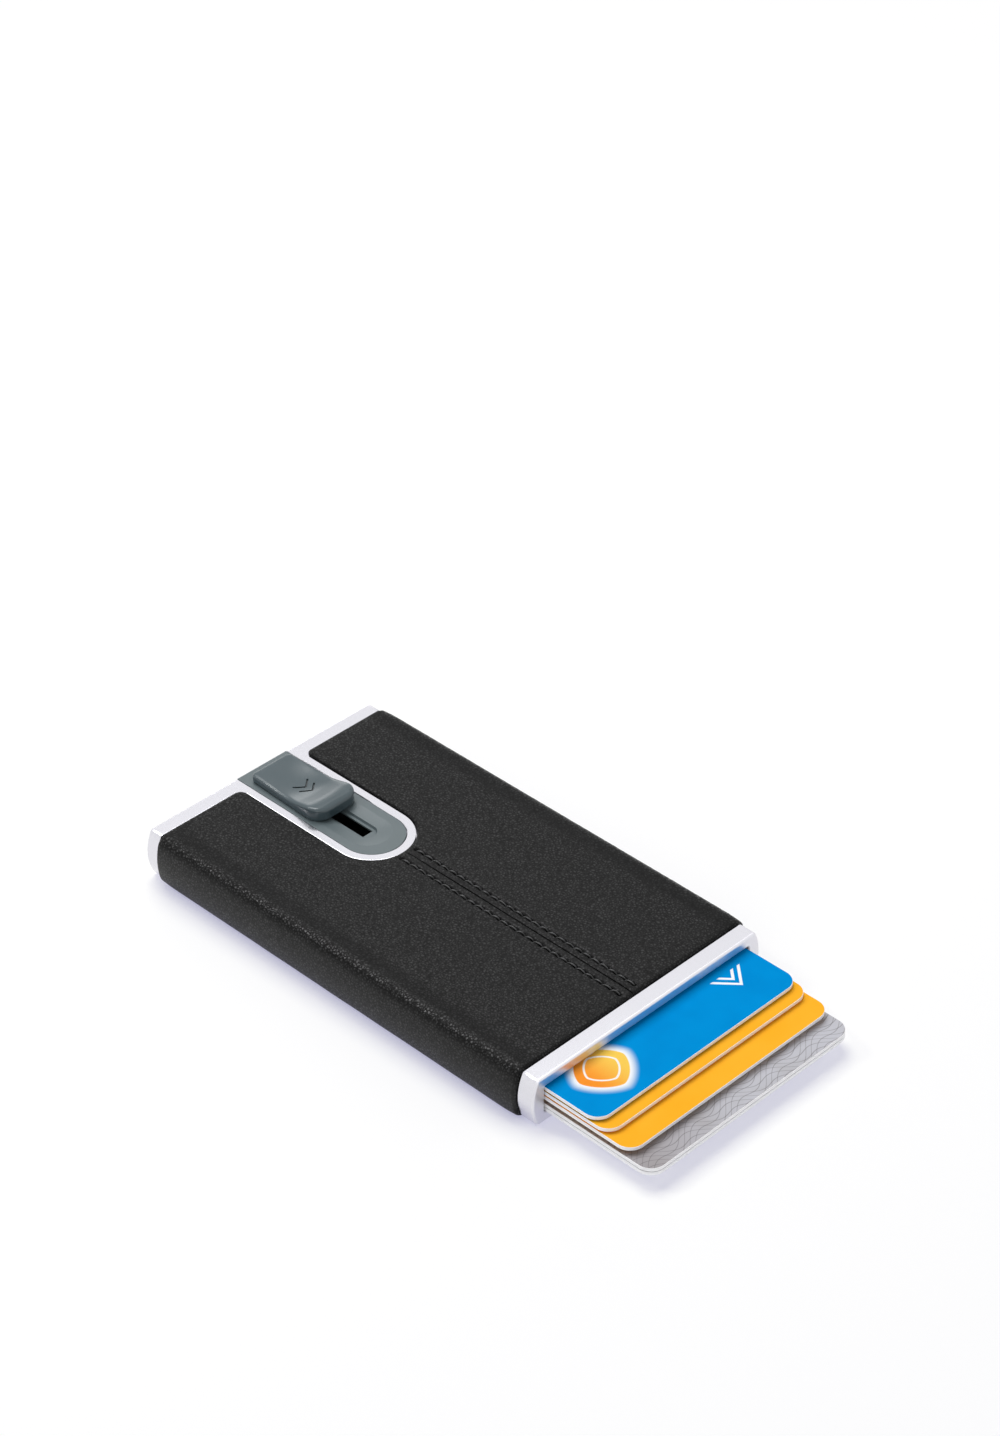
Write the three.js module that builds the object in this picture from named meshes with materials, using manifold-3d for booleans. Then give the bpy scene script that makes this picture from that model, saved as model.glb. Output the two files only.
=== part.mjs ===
// Pop up card holder: an aluminium sleeve in a leather wrap, with five cards that a thumb
// slider and a swinging stepped lever push out of the mouth like a staircase.
// Millimetres, +Z up. The mouth faces -Y, the closed end is at +Y, +X runs across the width.
// The origin is the centre of the underside, on the surface that the holder lies on.
import * as THREE from 'three';
import { mergeVertices } from 'three/addons/utils/BufferGeometryUtils.js';
import Module from 'manifold-3d';

const wasm = await Module();
wasm.setup();

// Cards: the standard bank card size, and how far the lower ones stand out of the mouth.
const cardLength = 85.6;
const cardWidth = 53.98;
const cardThickness = 0.76;
const cardCornerRadius = 3.18;
const cardInset = 0.5;
const secondCardShown = 15.3;
const thirdCardShown = 20.5;
const lowCardsShown = 25.5;

// Free space above and below each card, from the roof of the bay to its floor.
const roofGap = 0.55;
const topGap = 0.34;
const secondGap = 0.34;
const thirdGap = 0.91;
const lowGap = 0.12;
const floorGap = 0.14;

// Sleeve: walls, rims and the raised border round the slider's track.
const floorWall = 1.45;
const roofWall = 1.45;
const bayGap = 0.4;
const sideWall = 2.27;
const leatherSink = 0.7;
const frontRimDepth = 3.85;
const rearRimDepth = 3.25;
const rimBulge = 1.35;
const rimEdgeRadius = 0.7;
const bayCornerRadius = 0.6;
const borderWidth = 1.8;

// Leather wrap: how far it stands proud of the rims, and its edges.
const leatherProud = 0.7;
const leatherSideProud = 0.8;
const leatherBulge = 1.2;
const leatherEdgeRadius = 2.2;
const leatherCornerRadius = 1.2;
const leatherEdgeGap = 0.15;
const glueGap = 0.05;
const seamWidth = 0.25;

// Sewn rows beside the centre seam.
const rowOffset = 1.8;
const rowWidth = 0.45;
const rowHeight = 0.2;
const stitchPitch = 2.2;
const rowStartGap = 1.7;
const rowEndGap = 1.4;

// Track insert of the slider, in a pocket that opens at the closed end.
const trackHalfWidth = 6.6;
const trackThickness = 1.25;
const trackGap = 0.1;
const trackSetDown = 0.05;
const trackEndMargin = 8;
const slotHalfWidth = 1.3;
const dishDepth = 0.5;
const dishRadius = 25;
const grooveMargin = 0.6;
const grooveReach = 1.6;
const grooveCornerRadius = 1.85;
const grooveDepth = 0.4;
const windowMargin = 0.7;

// Lever: angle of swing, arm and its clearances.
const swingDegrees = 40;
const armFront = 3.2;
const armBack = 3;
const armTipRadius = 1.8;
const stepStart = 6;
const leverGap = 0.25;
const slotWall = 1;
const leverToRear = 14.4;
const pushGap = 0.3;
const tipWallGap = 0.35;

// Pins, spring and screws.
const pivotRadius = 1.5;
const pivotGap = 0.2;
const pivotShankRadius = 1;
const rivetHeadRadius = 2.3;
const rivetHeadHeight = 0.6;
const drivePinRadius = 1;
const pinNeckRadius = 0.6;
const camGap = 0.25;
const pressGap = 0.05;
const springWire = 0.5;
const springRadius = 2.1;
const springPitch = 0.95;
const springTurns = 2.25;
const springGap = 0.3;
const springLegReach = 8.4;
const springNotchDepth = 1.2;
const screwShankRadius = 0.7;
const screwHeadRadius = 1.25;
const screwHeadHeight = 0.7;
const screwLength = 4.2;
const screwGap = 0.1;
const screwInset = 5.8;
const driverSlotWidth = 0.35;
const driverSlotDepth = 0.3;
const padScrewShankRadius = 0.5;
const padScrewHeadRadius = 0.95;
const padScrewLength = 2.6;
const padScrewToPin = 2.7;

// Thumb pad, its stem through the track, and the shoe that holds it from inside.
const stemHalfWidth = 1.05;
const stemFront = 2.3;
const stemBack = 4.4;
const stemGap = 0.3;
const shoeHalfWidth = 6;
const shoeHeight = 1;
const shoeRoofGap = 0.3;
const padFrontReach = 8;
const padLength = 20;
const padRearHalfWidth = 5.1;
const padFrontHalfWidth = 5.85;
const padLift = 0.25;
const padRearHeight = 1.5;
const padScoopHeight = 1.35;
const padLipHeight = 2.5;
const padCornerRadius = 3.4;
const padRearRadius = 0.9;
// Places along the thumb pad, as shares of its length from the front.
const padLipShare = 0.09;
const padLipRiseShare = 0.24;
const padScoopShare = 0.45;
const padScoopRearShare = 0.72;

// Rear plug and the felt strips that grip the edges of the cards.
const plugDepth = 3.2;
const plugGap = 0.1;
const feltThickness = 0.5;
const feltGap = 0.3;
const feltLength = 29;
const feltInset = 3;
const feltHeight = 4.5;
const feltRecessGap = 0.05;

// A cut runs past the face that it opens by this much.
const overrun = 2;
// Points closer together than this are one point.
const weld = 1e-4;

// Heights, built up from the table through the stack of cards to the top of the leather.
const rimBottomZ = leatherProud;
const coreBottomZ = rimBottomZ + leatherSink;
const bayFloorZ = coreBottomZ + floorWall;
const lowCardZ = bayFloorZ + floorGap;
const fourthCardZ = lowCardZ + cardThickness + lowGap;
const thirdCardZ = fourthCardZ + cardThickness + thirdGap;
const secondCardZ = thirdCardZ + cardThickness + secondGap;
const topCardZ = secondCardZ + cardThickness + topGap;
const bayRoofZ = topCardZ + cardThickness + roofGap;
const coreTopZ = bayRoofZ + roofWall;
const rimTopZ = coreTopZ + leatherSink;
const leatherTopZ = rimTopZ + leatherProud;

// Widths.
const bayHalfWidth = cardWidth / 2 + bayGap;
const coreHalfWidth = bayHalfWidth + sideWall;
const rimHalfWidth = coreHalfWidth + leatherSink;
const leatherHalfWidth = rimHalfWidth + leatherSideProud;

// Lengths: the closed cards, then the lever behind them and the space that its spring needs.
const caseLength = cardInset + cardLength + pushGap + armFront + leverToRear;
const frontY = -caseLength / 2;
const rearY = caseLength / 2;
const closedCardRearY = frontY + cardInset + cardLength;
const pivotY = closedCardRearY + pushGap + armFront;

// The lever swings forward, and the end of each step moves far enough to leave its cards
// standing out as listed above. The pin that drives it runs straight along the track, and
// the shoe that carries the pin pushes the top card.
const swing = THREE.MathUtils.degToRad(swingDegrees);
const tipSetBack = armFront - armTipRadius;
const stepReach = (shown) => (cardInset + shown + tipSetBack * (1 - Math.cos(swing))) / Math.sin(swing);
const lowReach = stepReach(lowCardsShown);
const thirdReach = stepReach(thirdCardShown);
const secondReach = stepReach(secondCardShown);
const pivotX = bayHalfWidth - tipWallGap - armTipRadius - lowReach;
const pinArm = -pivotX;
const sliderTravel = pinArm * Math.tan(swing);
const topCardShown = sliderTravel - cardInset;

// Track, slot and border, from the slider's travel.
const trackTopZ = rimTopZ - trackSetDown;
const pocketFloorZ = trackTopZ - trackThickness;
const slotFrontY = pivotY - stemFront - sliderTravel - stemGap;
const slotRearY = pivotY + stemBack + stemGap;
const trackFrontY = slotFrontY - trackEndMargin;
const borderHalfWidth = trackHalfWidth + borderWidth;
const trackEndCentreY = trackFrontY + trackHalfWidth;
const borderFrontY = trackEndCentreY - borderHalfWidth;

// Shoe and lever heights.
const shoeTopZ = bayRoofZ - shoeRoofGap;
const shoeBottomZ = shoeTopZ - shoeHeight;
const shoeFrontY = closedCardRearY + pushGap;
const shoeRearY = pivotY + stemBack + stemGap;
const leverBottomZ = bayFloorZ + leverGap;
const lowStepTopZ = thirdCardZ - leverGap;
const thirdStepTopZ = secondCardZ - leverGap;
const secondStepTopZ = topCardZ - leverGap;

// Materials.
const finish = (color, roughness, metalness) => new THREE.MeshStandardMaterial({ color, roughness, metalness });
const aluminium = () => finish(0xd9d9df, 0.3, 1);
const leather = () => finish(0x2b2b2c, 0.75, 0);
const thread = () => finish(0x17171a, 0.8, 0);
const greyPlastic = () => finish(0x66727a, 0.35, 0);
const blackPlastic = () => finish(0x2a2c2f, 0.5, 0);
const steel = () => finish(0xb9bcc2, 0.35, 1);
const felt = () => finish(0x1b1b1d, 0.95, 0);
const blueCard = () => finish(0x0090da, 0.3, 0);
const yellowCard = () => finish(0xffb52e, 0.3, 0);
const silverCard = () => finish(0xb6b6bb, 0.3, 0);
const whiteCard = () => finish(0xe8e8ea, 0.3, 0);

// A closed geometry as a solid that can be joined and cut.
function solid(geometry) {
  const bare = geometry.index ? geometry.toNonIndexed() : geometry.clone();
  bare.deleteAttribute('normal');
  bare.deleteAttribute('uv');
  const merged = mergeVertices(bare, weld);
  return new wasm.Manifold(new wasm.Mesh({
    numProp: 3,
    vertProperties: merged.attributes.position.array,
    triVerts: new Uint32Array(merged.index.array),
  }));
}

// A finished solid as a named mesh.
function piece(name, body, material) {
  const mesh = body.getMesh();
  const geometry = new THREE.BufferGeometry();
  geometry.setAttribute('position', new THREE.BufferAttribute(new Float32Array(mesh.vertProperties), 3));
  geometry.setIndex(new THREE.BufferAttribute(new Uint32Array(mesh.triVerts), 1));
  const flat = geometry.toNonIndexed();
  flat.computeVertexNormals();
  const made = new THREE.Mesh(flat, material);
  made.name = name;
  return made;
}

// An outline in the XY plane raised from low to high.
function upright(shape, low, high, curveSegments = 8) {
  const geometry = new THREE.ExtrudeGeometry(shape, { depth: high - low, bevelEnabled: false, curveSegments });
  geometry.translate(0, 0, low);
  return solid(geometry);
}

// An outline drawn as X and Z, run along Y from near to far.
function lengthwise(shape, near, far, curveSegments = 8) {
  const geometry = new THREE.ExtrudeGeometry(shape, { depth: far - near, bevelEnabled: false, curveSegments });
  geometry.rotateX(Math.PI / 2);
  geometry.translate(0, far, 0);
  return solid(geometry);
}

// An outline drawn as Y and Z, run along X from left to right.
function crosswise(shape, left, right, curveSegments = 8) {
  const geometry = new THREE.ExtrudeGeometry(shape, { depth: right - left, bevelEnabled: false, curveSegments });
  geometry.rotateX(Math.PI / 2);
  geometry.rotateZ(Math.PI / 2);
  geometry.translate(left, 0, 0);
  return solid(geometry);
}

// A box between two corners.
function block(low, high) {
  const size = new THREE.Vector3(...high).sub(new THREE.Vector3(...low));
  const centre = new THREE.Vector3(...high).add(new THREE.Vector3(...low)).multiplyScalar(0.5);
  const geometry = new THREE.BoxGeometry(size.x, size.y, size.z);
  geometry.translate(centre.x, centre.y, centre.z);
  return solid(geometry);
}

// A round bar standing at x, y.
function bar(x, y, radius, low, high, sides = 24) {
  const geometry = new THREE.CylinderGeometry(radius, radius, high - low, sides);
  geometry.rotateX(Math.PI / 2);
  geometry.translate(x, y, (low + high) / 2);
  return solid(geometry);
}

// A rectangle with round corners.
function roundedRectangle(left, right, low, high, radius) {
  const shape = new THREE.Shape();
  shape.moveTo(left + radius, low);
  shape.lineTo(right - radius, low);
  shape.absarc(right - radius, low + radius, radius, -Math.PI / 2, 0, false);
  shape.absarc(right - radius, high - radius, radius, 0, Math.PI / 2, false);
  shape.absarc(left + radius, high - radius, radius, Math.PI / 2, Math.PI, false);
  shape.absarc(left + radius, low + radius, radius, Math.PI, Math.PI * 1.5, false);
  return shape;
}

// A section with flat top and bottom and sides that swell outwards. The small round edges
// run smoothly into the sides.
function swollenSection(halfWidth, low, high, bulge, radius) {
  const rise = (high - low) / 2;
  const middle = (high + low) / 2;
  const swell = (rise * rise + bulge * bulge) / (2 * bulge);
  const centre = halfWidth - swell;
  const spread = Math.asin((rise - radius) / (swell - radius));
  const edge = centre + (swell - radius) * Math.cos(spread);
  const shape = new THREE.Shape();
  shape.moveTo(-edge, low);
  shape.absarc(edge, low + radius, radius, -Math.PI / 2, -spread, false);
  shape.absarc(centre, middle, swell, -spread, spread, false);
  shape.absarc(edge, high - radius, radius, spread, Math.PI / 2, false);
  shape.absarc(-edge, high - radius, radius, Math.PI / 2, Math.PI - spread, false);
  shape.absarc(-centre, middle, swell, Math.PI - spread, Math.PI + spread, false);
  shape.absarc(-edge, low + radius, radius, Math.PI + spread, Math.PI * 1.5, false);
  return shape;
}

// The track's outline: straight sides from the closed end, and a half round front.
function trackOutline(halfWidth, centreY, endY) {
  const shape = new THREE.Shape();
  shape.moveTo(halfWidth, centreY);
  shape.lineTo(halfWidth, endY);
  shape.lineTo(-halfWidth, endY);
  shape.lineTo(-halfWidth, centreY);
  shape.absarc(0, centreY, halfWidth, Math.PI, Math.PI * 2, false);
  return shape;
}

// The section of the metal under the leather, or of a skin that far outside it.
function coreSection(outside) {
  return swollenSection(
    coreHalfWidth + outside, coreBottomZ - outside, coreTopZ + outside, rimBulge, rimEdgeRadius,
  );
}

function bayCut(near, far) {
  const outline = roundedRectangle(-bayHalfWidth, bayHalfWidth, bayFloorZ, bayRoofZ, bayCornerRadius);
  return lengthwise(outline, near, far, 4);
}

function caseBody() {
  const rim = swollenSection(rimHalfWidth, rimBottomZ, rimTopZ, rimBulge, rimEdgeRadius);
  const border = trackOutline(borderHalfWidth, trackEndCentreY, rearY);
  const pocket = trackOutline(trackHalfWidth, trackEndCentreY, rearY + overrun);
  const windowHalfWidth = slotHalfWidth + windowMargin;
  let body = lengthwise(coreSection(0), frontY, rearY)
    .add(lengthwise(rim, frontY, frontY + frontRimDepth))
    .add(lengthwise(rim, rearY - rearRimDepth, rearY))
    .add(upright(border, (coreTopZ + bayRoofZ) / 2, rimTopZ, 16))
    .subtract(bayCut(frontY - overrun, rearY + overrun))
    .subtract(upright(pocket, pocketFloorZ, rimTopZ + overrun, 16))
    .subtract(block(
      [-windowHalfWidth, slotFrontY - windowMargin, bayRoofZ - overrun],
      [windowHalfWidth, slotRearY + windowMargin, pocketFloorZ + overrun],
    ))
    .subtract(bar(pivotX, pivotY, pivotShankRadius + pressGap, coreBottomZ - overrun, bayFloorZ + overrun))
    .subtract(bar(
      pivotX, pivotY, rivetHeadRadius + pressGap,
      coreBottomZ - overrun, coreBottomZ + rivetHeadHeight + pressGap,
    ));
  for (const side of [-1, 1]) {
    const x = side * (bayHalfWidth - screwInset);
    const y = rearY - plugDepth / 2;
    body = body
      .subtract(bar(x, y, screwShankRadius + screwGap, rimBottomZ - overrun, bayFloorZ + overrun))
      .subtract(bar(
        x, y, screwHeadRadius + screwGap, rimBottomZ - overrun, rimBottomZ + screwHeadHeight + screwGap,
      ))
      .subtract(feltBlock(side, feltRecessGap));
  }
  return body;
}

function leatherWrap() {
  const outer = swollenSection(leatherHalfWidth, 0, leatherTopZ, leatherBulge, leatherEdgeRadius);
  const near = frontY + frontRimDepth + leatherEdgeGap;
  const far = rearY - rearRimDepth - leatherEdgeGap;
  const edge = borderHalfWidth + leatherEdgeGap;
  const cornerX = edge + leatherCornerRadius;
  const cornerY = far - leatherCornerRadius;
  // The two corners beside the track are rounded: a square is cut away and a disc put back.
  const corners = block([-cornerX, cornerY, bayRoofZ], [cornerX, rearY, leatherTopZ + overrun])
    .subtract(bar(-cornerX, cornerY, leatherCornerRadius, bayRoofZ - overrun, leatherTopZ + overrun * 2, 48))
    .subtract(bar(cornerX, cornerY, leatherCornerRadius, bayRoofZ - overrun, leatherTopZ + overrun * 2, 48));
  return lengthwise(outer, near, far)
    .subtract(lengthwise(coreSection(glueGap), near - overrun, far + overrun))
    .subtract(upright(trackOutline(edge, trackEndCentreY, rearY), bayRoofZ, leatherTopZ + overrun, 16))
    .subtract(corners)
    .subtract(block(
      [-seamWidth / 2, near - overrun, bayRoofZ],
      [seamWidth / 2, trackEndCentreY, leatherTopZ + overrun],
    ));
}

// One row of thread: a low ridge with a hump for each stitch.
function stitchRow(side) {
  const startY = borderFrontY - rowStartGap;
  const room = startY - (frontY + frontRimDepth + rowEndGap);
  const count = Math.floor(room / stitchPitch);
  const base = leatherTopZ + rowHeight / 4;
  const shape = new THREE.Shape();
  shape.moveTo(startY, leatherTopZ);
  shape.lineTo(startY, base);
  for (let i = 0; i < count; i += 1) {
    const y = startY - i * stitchPitch;
    shape.lineTo(y - stitchPitch / 4, leatherTopZ + rowHeight);
    shape.lineTo(y - stitchPitch * 3 / 4, leatherTopZ + rowHeight);
    shape.lineTo(y - stitchPitch, base);
  }
  shape.lineTo(startY - count * stitchPitch, leatherTopZ);
  const x = side * rowOffset;
  return crosswise(shape, x - rowWidth / 2, x + rowWidth / 2);
}

// The insert: a shallow dish, a stepped groove in it, and the slot through the groove's floor.
function trackInsert() {
  const outline = trackOutline(trackHalfWidth - trackGap, trackEndCentreY, rearY);
  const dishFloorZ = trackTopZ - dishDepth;
  const dishZ = dishFloorZ + dishRadius;
  const dishLength = slotRearY - slotFrontY;
  const valley = new THREE.CylinderGeometry(dishRadius, dishRadius, dishLength, 240);
  valley.translate(0, (slotRearY + slotFrontY) / 2, dishZ);
  const hollow = (y) => solid(new THREE.SphereGeometry(dishRadius, 240, 160).translate(0, y, dishZ));
  const groove = roundedRectangle(
    -slotHalfWidth - grooveMargin, slotHalfWidth + grooveMargin,
    slotFrontY - grooveReach, slotRearY + grooveReach, grooveCornerRadius,
  );
  return upright(outline, pocketFloorZ, trackTopZ, 16)
    .subtract(solid(valley).add(hollow(slotFrontY)).add(hollow(slotRearY)))
    .subtract(upright(groove, dishFloorZ - grooveDepth, trackTopZ + overrun, 12))
    .subtract(block(
      [-slotHalfWidth, slotFrontY, pocketFloorZ - overrun],
      [slotHalfWidth, slotRearY, trackTopZ + overrun],
    ));
}

// The pad: a side view with a hollow for the thumb and a raised front lip, trimmed to its plan.
function thumbPad() {
  const front = pivotY - padFrontReach;
  const rear = front + padLength;
  const baseZ = rimTopZ + padLift;
  const sideView = new THREE.Shape();
  sideView.moveTo(front + padRearRadius, baseZ);
  sideView.lineTo(rear - padRearRadius, baseZ);
  sideView.quadraticCurveTo(rear, baseZ, rear, baseZ + padRearHeight / 2);
  sideView.quadraticCurveTo(rear, baseZ + padRearHeight, rear - padRearRadius, baseZ + padRearHeight);
  const scoop = (share) => front + padLength * share;
  sideView.splineThru([
    new THREE.Vector2(scoop(padScoopRearShare), baseZ + padRearHeight),
    new THREE.Vector2(scoop(padScoopShare), baseZ + padScoopHeight),
    new THREE.Vector2(scoop(padLipRiseShare), baseZ + (padScoopHeight + padLipHeight) / 2),
    new THREE.Vector2(scoop(padLipShare), baseZ + padLipHeight),
  ]);
  sideView.quadraticCurveTo(front, baseZ + padLipHeight, front, baseZ + padLipHeight / 2);
  sideView.quadraticCurveTo(front, baseZ, front + padRearRadius, baseZ);
  const plan = new THREE.Shape();
  plan.moveTo(padFrontHalfWidth - padCornerRadius, front);
  plan.quadraticCurveTo(padFrontHalfWidth, front, padFrontHalfWidth, front + padCornerRadius);
  plan.lineTo(padRearHalfWidth, rear - padRearRadius);
  plan.quadraticCurveTo(padRearHalfWidth, rear, padRearHalfWidth - padRearRadius, rear);
  plan.lineTo(padRearRadius - padRearHalfWidth, rear);
  plan.quadraticCurveTo(-padRearHalfWidth, rear, -padRearHalfWidth, rear - padRearRadius);
  plan.lineTo(-padFrontHalfWidth, front + padCornerRadius);
  plan.quadraticCurveTo(-padFrontHalfWidth, front, padCornerRadius - padFrontHalfWidth, front);
  const stem = block(
    [-stemHalfWidth, pivotY - stemFront, shoeTopZ],
    [stemHalfWidth, pivotY + stemBack, baseZ + padRearHeight / 2],
  );
  return crosswise(sideView, -padFrontHalfWidth, padFrontHalfWidth, 10)
    .intersect(upright(plan, baseZ - overrun, baseZ + padLipHeight + overrun, 8))
    .add(stem)
    .subtract(bar(0, pivotY, pinNeckRadius + pressGap, shoeTopZ - overrun, rimTopZ))
    .subtract(bar(
      0, pivotY + padScrewToPin, padScrewShankRadius + pressGap, shoeTopZ - overrun,
      shoeBottomZ + padScrewLength + screwGap,
    ));
}

function pusherShoe() {
  return block([-shoeHalfWidth, shoeFrontY, shoeBottomZ], [shoeHalfWidth, shoeRearY, shoeTopZ])
    .subtract(bar(0, pivotY, drivePinRadius + pressGap, shoeBottomZ - overrun, shoeTopZ + overrun))
    .subtract(bar(
      0, pivotY + padScrewToPin, padScrewShankRadius + screwGap, shoeBottomZ - overrun, shoeTopZ + overrun,
    ))
    .subtract(bar(
      0, pivotY + padScrewToPin, padScrewHeadRadius + screwGap, shoeBottomZ - overrun,
      shoeBottomZ + shoeHeight / 2 + screwGap,
    ));
}

function drivePin() {
  return bar(0, pivotY, drivePinRadius, leverBottomZ, shoeTopZ - pressGap)
    .add(bar(0, pivotY, pinNeckRadius, shoeTopZ - shoeHeight / 2, rimTopZ - pressGap));
}

function padScrew() {
  const y = pivotY + padScrewToPin;
  const headTopZ = shoeBottomZ + shoeHeight / 2;
  return bar(0, y, padScrewHeadRadius, shoeBottomZ, headTopZ)
    .add(bar(0, y, padScrewShankRadius, shoeBottomZ + driverSlotDepth, shoeBottomZ + padScrewLength))
    .subtract(block(
      [-driverSlotWidth / 2, y - padScrewHeadRadius - overrun, shoeBottomZ - overrun],
      [driverSlotWidth / 2, y + padScrewHeadRadius + overrun, shoeBottomZ + driverSlotDepth],
    ));
}

// The outline of one step of the lever, drawn with the pivot at 0, 0 and the arm along +X.
function stepOutline(startX, reach) {
  const taperX = pinPath(1).x + drivePinRadius + camGap + slotWall;
  const shape = new THREE.Shape();
  shape.moveTo(startX, -armFront);
  shape.absarc(reach, -tipSetBack, armTipRadius, -Math.PI / 2, Math.PI / 2, false);
  shape.lineTo(taperX, armBack);
  shape.lineTo(startX, armBack);
  return shape;
}

// Where the drive pin is, as the lever sees it, when a share of the swing is done.
function pinPath(share) {
  const angle = swing * share;
  const run = sliderTravel * share;
  return new THREE.Vector2(
    pinArm * Math.cos(angle) + run * Math.sin(angle),
    pinArm * Math.sin(angle) - run * Math.cos(angle),
  );
}

// The lever's curved slot, an even width round the pin's path.
function camSlot(halfWidth) {
  const steps = 12;
  const path = [];
  for (let i = 0; i <= steps; i += 1) path.push(pinPath(i / steps));
  const square = (i) => {
    const from = path[Math.max(i - 1, 0)];
    const to = path[Math.min(i + 1, steps)];
    return to.clone().sub(from).normalize().rotateAround(new THREE.Vector2(), Math.PI / 2);
  };
  const shape = new THREE.Shape();
  const first = square(0);
  const last = square(steps);
  shape.moveTo(path[0].x - first.x * halfWidth, path[0].y - first.y * halfWidth);
  for (let i = 1; i < steps; i += 1) {
    const side = square(i);
    shape.lineTo(path[i].x - side.x * halfWidth, path[i].y - side.y * halfWidth);
  }
  const lastTurn = Math.atan2(last.y, last.x);
  shape.absarc(path[steps].x, path[steps].y, halfWidth, lastTurn - Math.PI, lastTurn, false);
  for (let i = steps - 1; i > 0; i -= 1) {
    const side = square(i);
    shape.lineTo(path[i].x + side.x * halfWidth, path[i].y + side.y * halfWidth);
  }
  const firstTurn = Math.atan2(first.y, first.x);
  shape.absarc(path[0].x, path[0].y, halfWidth, firstTurn, firstTurn + Math.PI, false);
  return shape;
}

// The swinging lever: a hub and three steps, one for each height of card that it pushes.
function steppedLever() {
  const grooveHalf = springWire / 2 + springGap;
  const lever = upright(stepOutline(0, lowReach), leverBottomZ, lowStepTopZ)
    .add(bar(0, 0, armFront, leverBottomZ, lowStepTopZ, 32))
    .add(upright(stepOutline(stepStart, thirdReach), leverBottomZ, thirdStepTopZ))
    .add(upright(stepOutline(stepStart, secondReach), leverBottomZ, secondStepTopZ))
    .subtract(bar(0, 0, pivotRadius + pivotGap, leverBottomZ - overrun, lowStepTopZ + overrun, 32))
    .subtract(upright(camSlot(drivePinRadius + camGap), leverBottomZ - overrun, secondStepTopZ + overrun))
    .subtract(block(
      [stepStart - overrun, -springRadius - grooveHalf, lowStepTopZ],
      [springLegReach + springGap, grooveHalf - springRadius, secondStepTopZ + overrun],
    ));
  return lever.translate([pivotX, pivotY, 0]);
}

// Shouldered rivet that the lever swings on. Its head is sunk in the sleeve under the leather.
function pivotRivet() {
  return bar(pivotX, pivotY, pivotRadius, bayFloorZ, bayRoofZ - leverGap)
    .add(bar(pivotX, pivotY, pivotShankRadius, coreBottomZ, bayFloorZ + leverGap))
    .add(bar(pivotX, pivotY, rivetHeadRadius, coreBottomZ, coreBottomZ + rivetHeadHeight));
}

// Torsion spring round the rivet: one leg lies in the lever's groove, the other in the plug.
// Its path runs in along the first leg, up the coil and out along the second.
function springPath() {
  const stepsPerTurn = 12;
  const steps = springTurns * stepsPerTurn;
  const lowZ = lowStepTopZ + springGap + springWire / 2;
  const coil = (i) => {
    const angle = -Math.PI / 2 - (i / stepsPerTurn) * Math.PI * 2;
    return new THREE.Vector3(
      pivotX + springRadius * Math.cos(angle),
      pivotY + springRadius * Math.sin(angle),
      lowZ + springPitch * i / stepsPerTurn,
    );
  };
  const legStart = new THREE.Vector3(pivotX + springLegReach, coil(0).y, lowZ);
  const legEndY = rearY - plugDepth + springNotchDepth - springGap;
  const legEnd = new THREE.Vector3(coil(steps).x, legEndY, coil(steps).z);
  const legSteps = 4;
  const points = [];
  for (let i = 0; i < legSteps; i += 1) points.push(legStart.clone().lerp(coil(0), i / legSteps));
  for (let i = 0; i <= steps; i += 1) points.push(coil(i));
  for (let i = 1; i <= legSteps; i += 1) points.push(coil(steps).lerp(legEnd, i / legSteps));
  return new THREE.CatmullRomCurve3(points, false, 'centripetal');
}

function returnSpring() {
  const section = new THREE.Shape();
  section.absarc(0, 0, springWire / 2, 0, Math.PI * 2, false);
  const path = springPath();
  return solid(new THREE.ExtrudeGeometry(section, {
    steps: path.points.length * 2, extrudePath: path, curveSegments: 3, bevelEnabled: false,
  }));
}

function rearPlug() {
  const outline = roundedRectangle(
    plugGap - bayHalfWidth, bayHalfWidth - plugGap, bayFloorZ + plugGap, bayRoofZ - plugGap, bayCornerRadius,
  );
  const leg = springPath().points.at(-1);
  const notchHalf = springWire / 2 + springGap;
  let plug = lengthwise(outline, rearY - plugDepth, rearY, 4).subtract(block(
    [leg.x - notchHalf, rearY - plugDepth - overrun, leg.z - notchHalf],
    [leg.x + notchHalf, rearY - plugDepth + springNotchDepth, leg.z + notchHalf],
  ));
  for (const side of [-1, 1]) {
    const x = side * (bayHalfWidth - screwInset);
    plug = plug.subtract(bar(
      x, rearY - plugDepth / 2, screwShankRadius + screwGap,
      bayFloorZ - overrun, rimBottomZ + screwLength + screwGap,
    ));
  }
  return plug;
}

function plugScrew(side) {
  const x = side * (bayHalfWidth - screwInset);
  const y = rearY - plugDepth / 2;
  return bar(x, y, screwHeadRadius, rimBottomZ, rimBottomZ + screwHeadHeight)
    .add(bar(x, y, screwShankRadius, rimBottomZ + driverSlotDepth, rimBottomZ + screwLength))
    .subtract(block(
      [x - screwHeadRadius - overrun, y - driverSlotWidth / 2, rimBottomZ - overrun],
      [x + screwHeadRadius + overrun, y + driverSlotWidth / 2, rimBottomZ + driverSlotDepth],
    ));
}

// A felt strip beside the cards, or the recess for it in the side wall.
function feltBlock(side, gap) {
  const inner = side * (cardWidth / 2 + feltGap - gap);
  const outer = side * (cardWidth / 2 + feltGap + feltThickness + gap);
  const middleZ = (bayFloorZ + bayRoofZ) / 2;
  const near = frontY + feltInset;
  return block(
    [Math.min(inner, outer), near - gap, middleZ - feltHeight / 2 - gap],
    [Math.max(inner, outer), near + feltLength + gap, middleZ + feltHeight / 2 + gap],
  );
}

function card(lowZ, shown) {
  const near = frontY - shown;
  const outline = roundedRectangle(-cardWidth / 2, cardWidth / 2, near, near + cardLength, cardCornerRadius);
  return upright(outline, lowZ, lowZ + cardThickness, 6);
}

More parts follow.
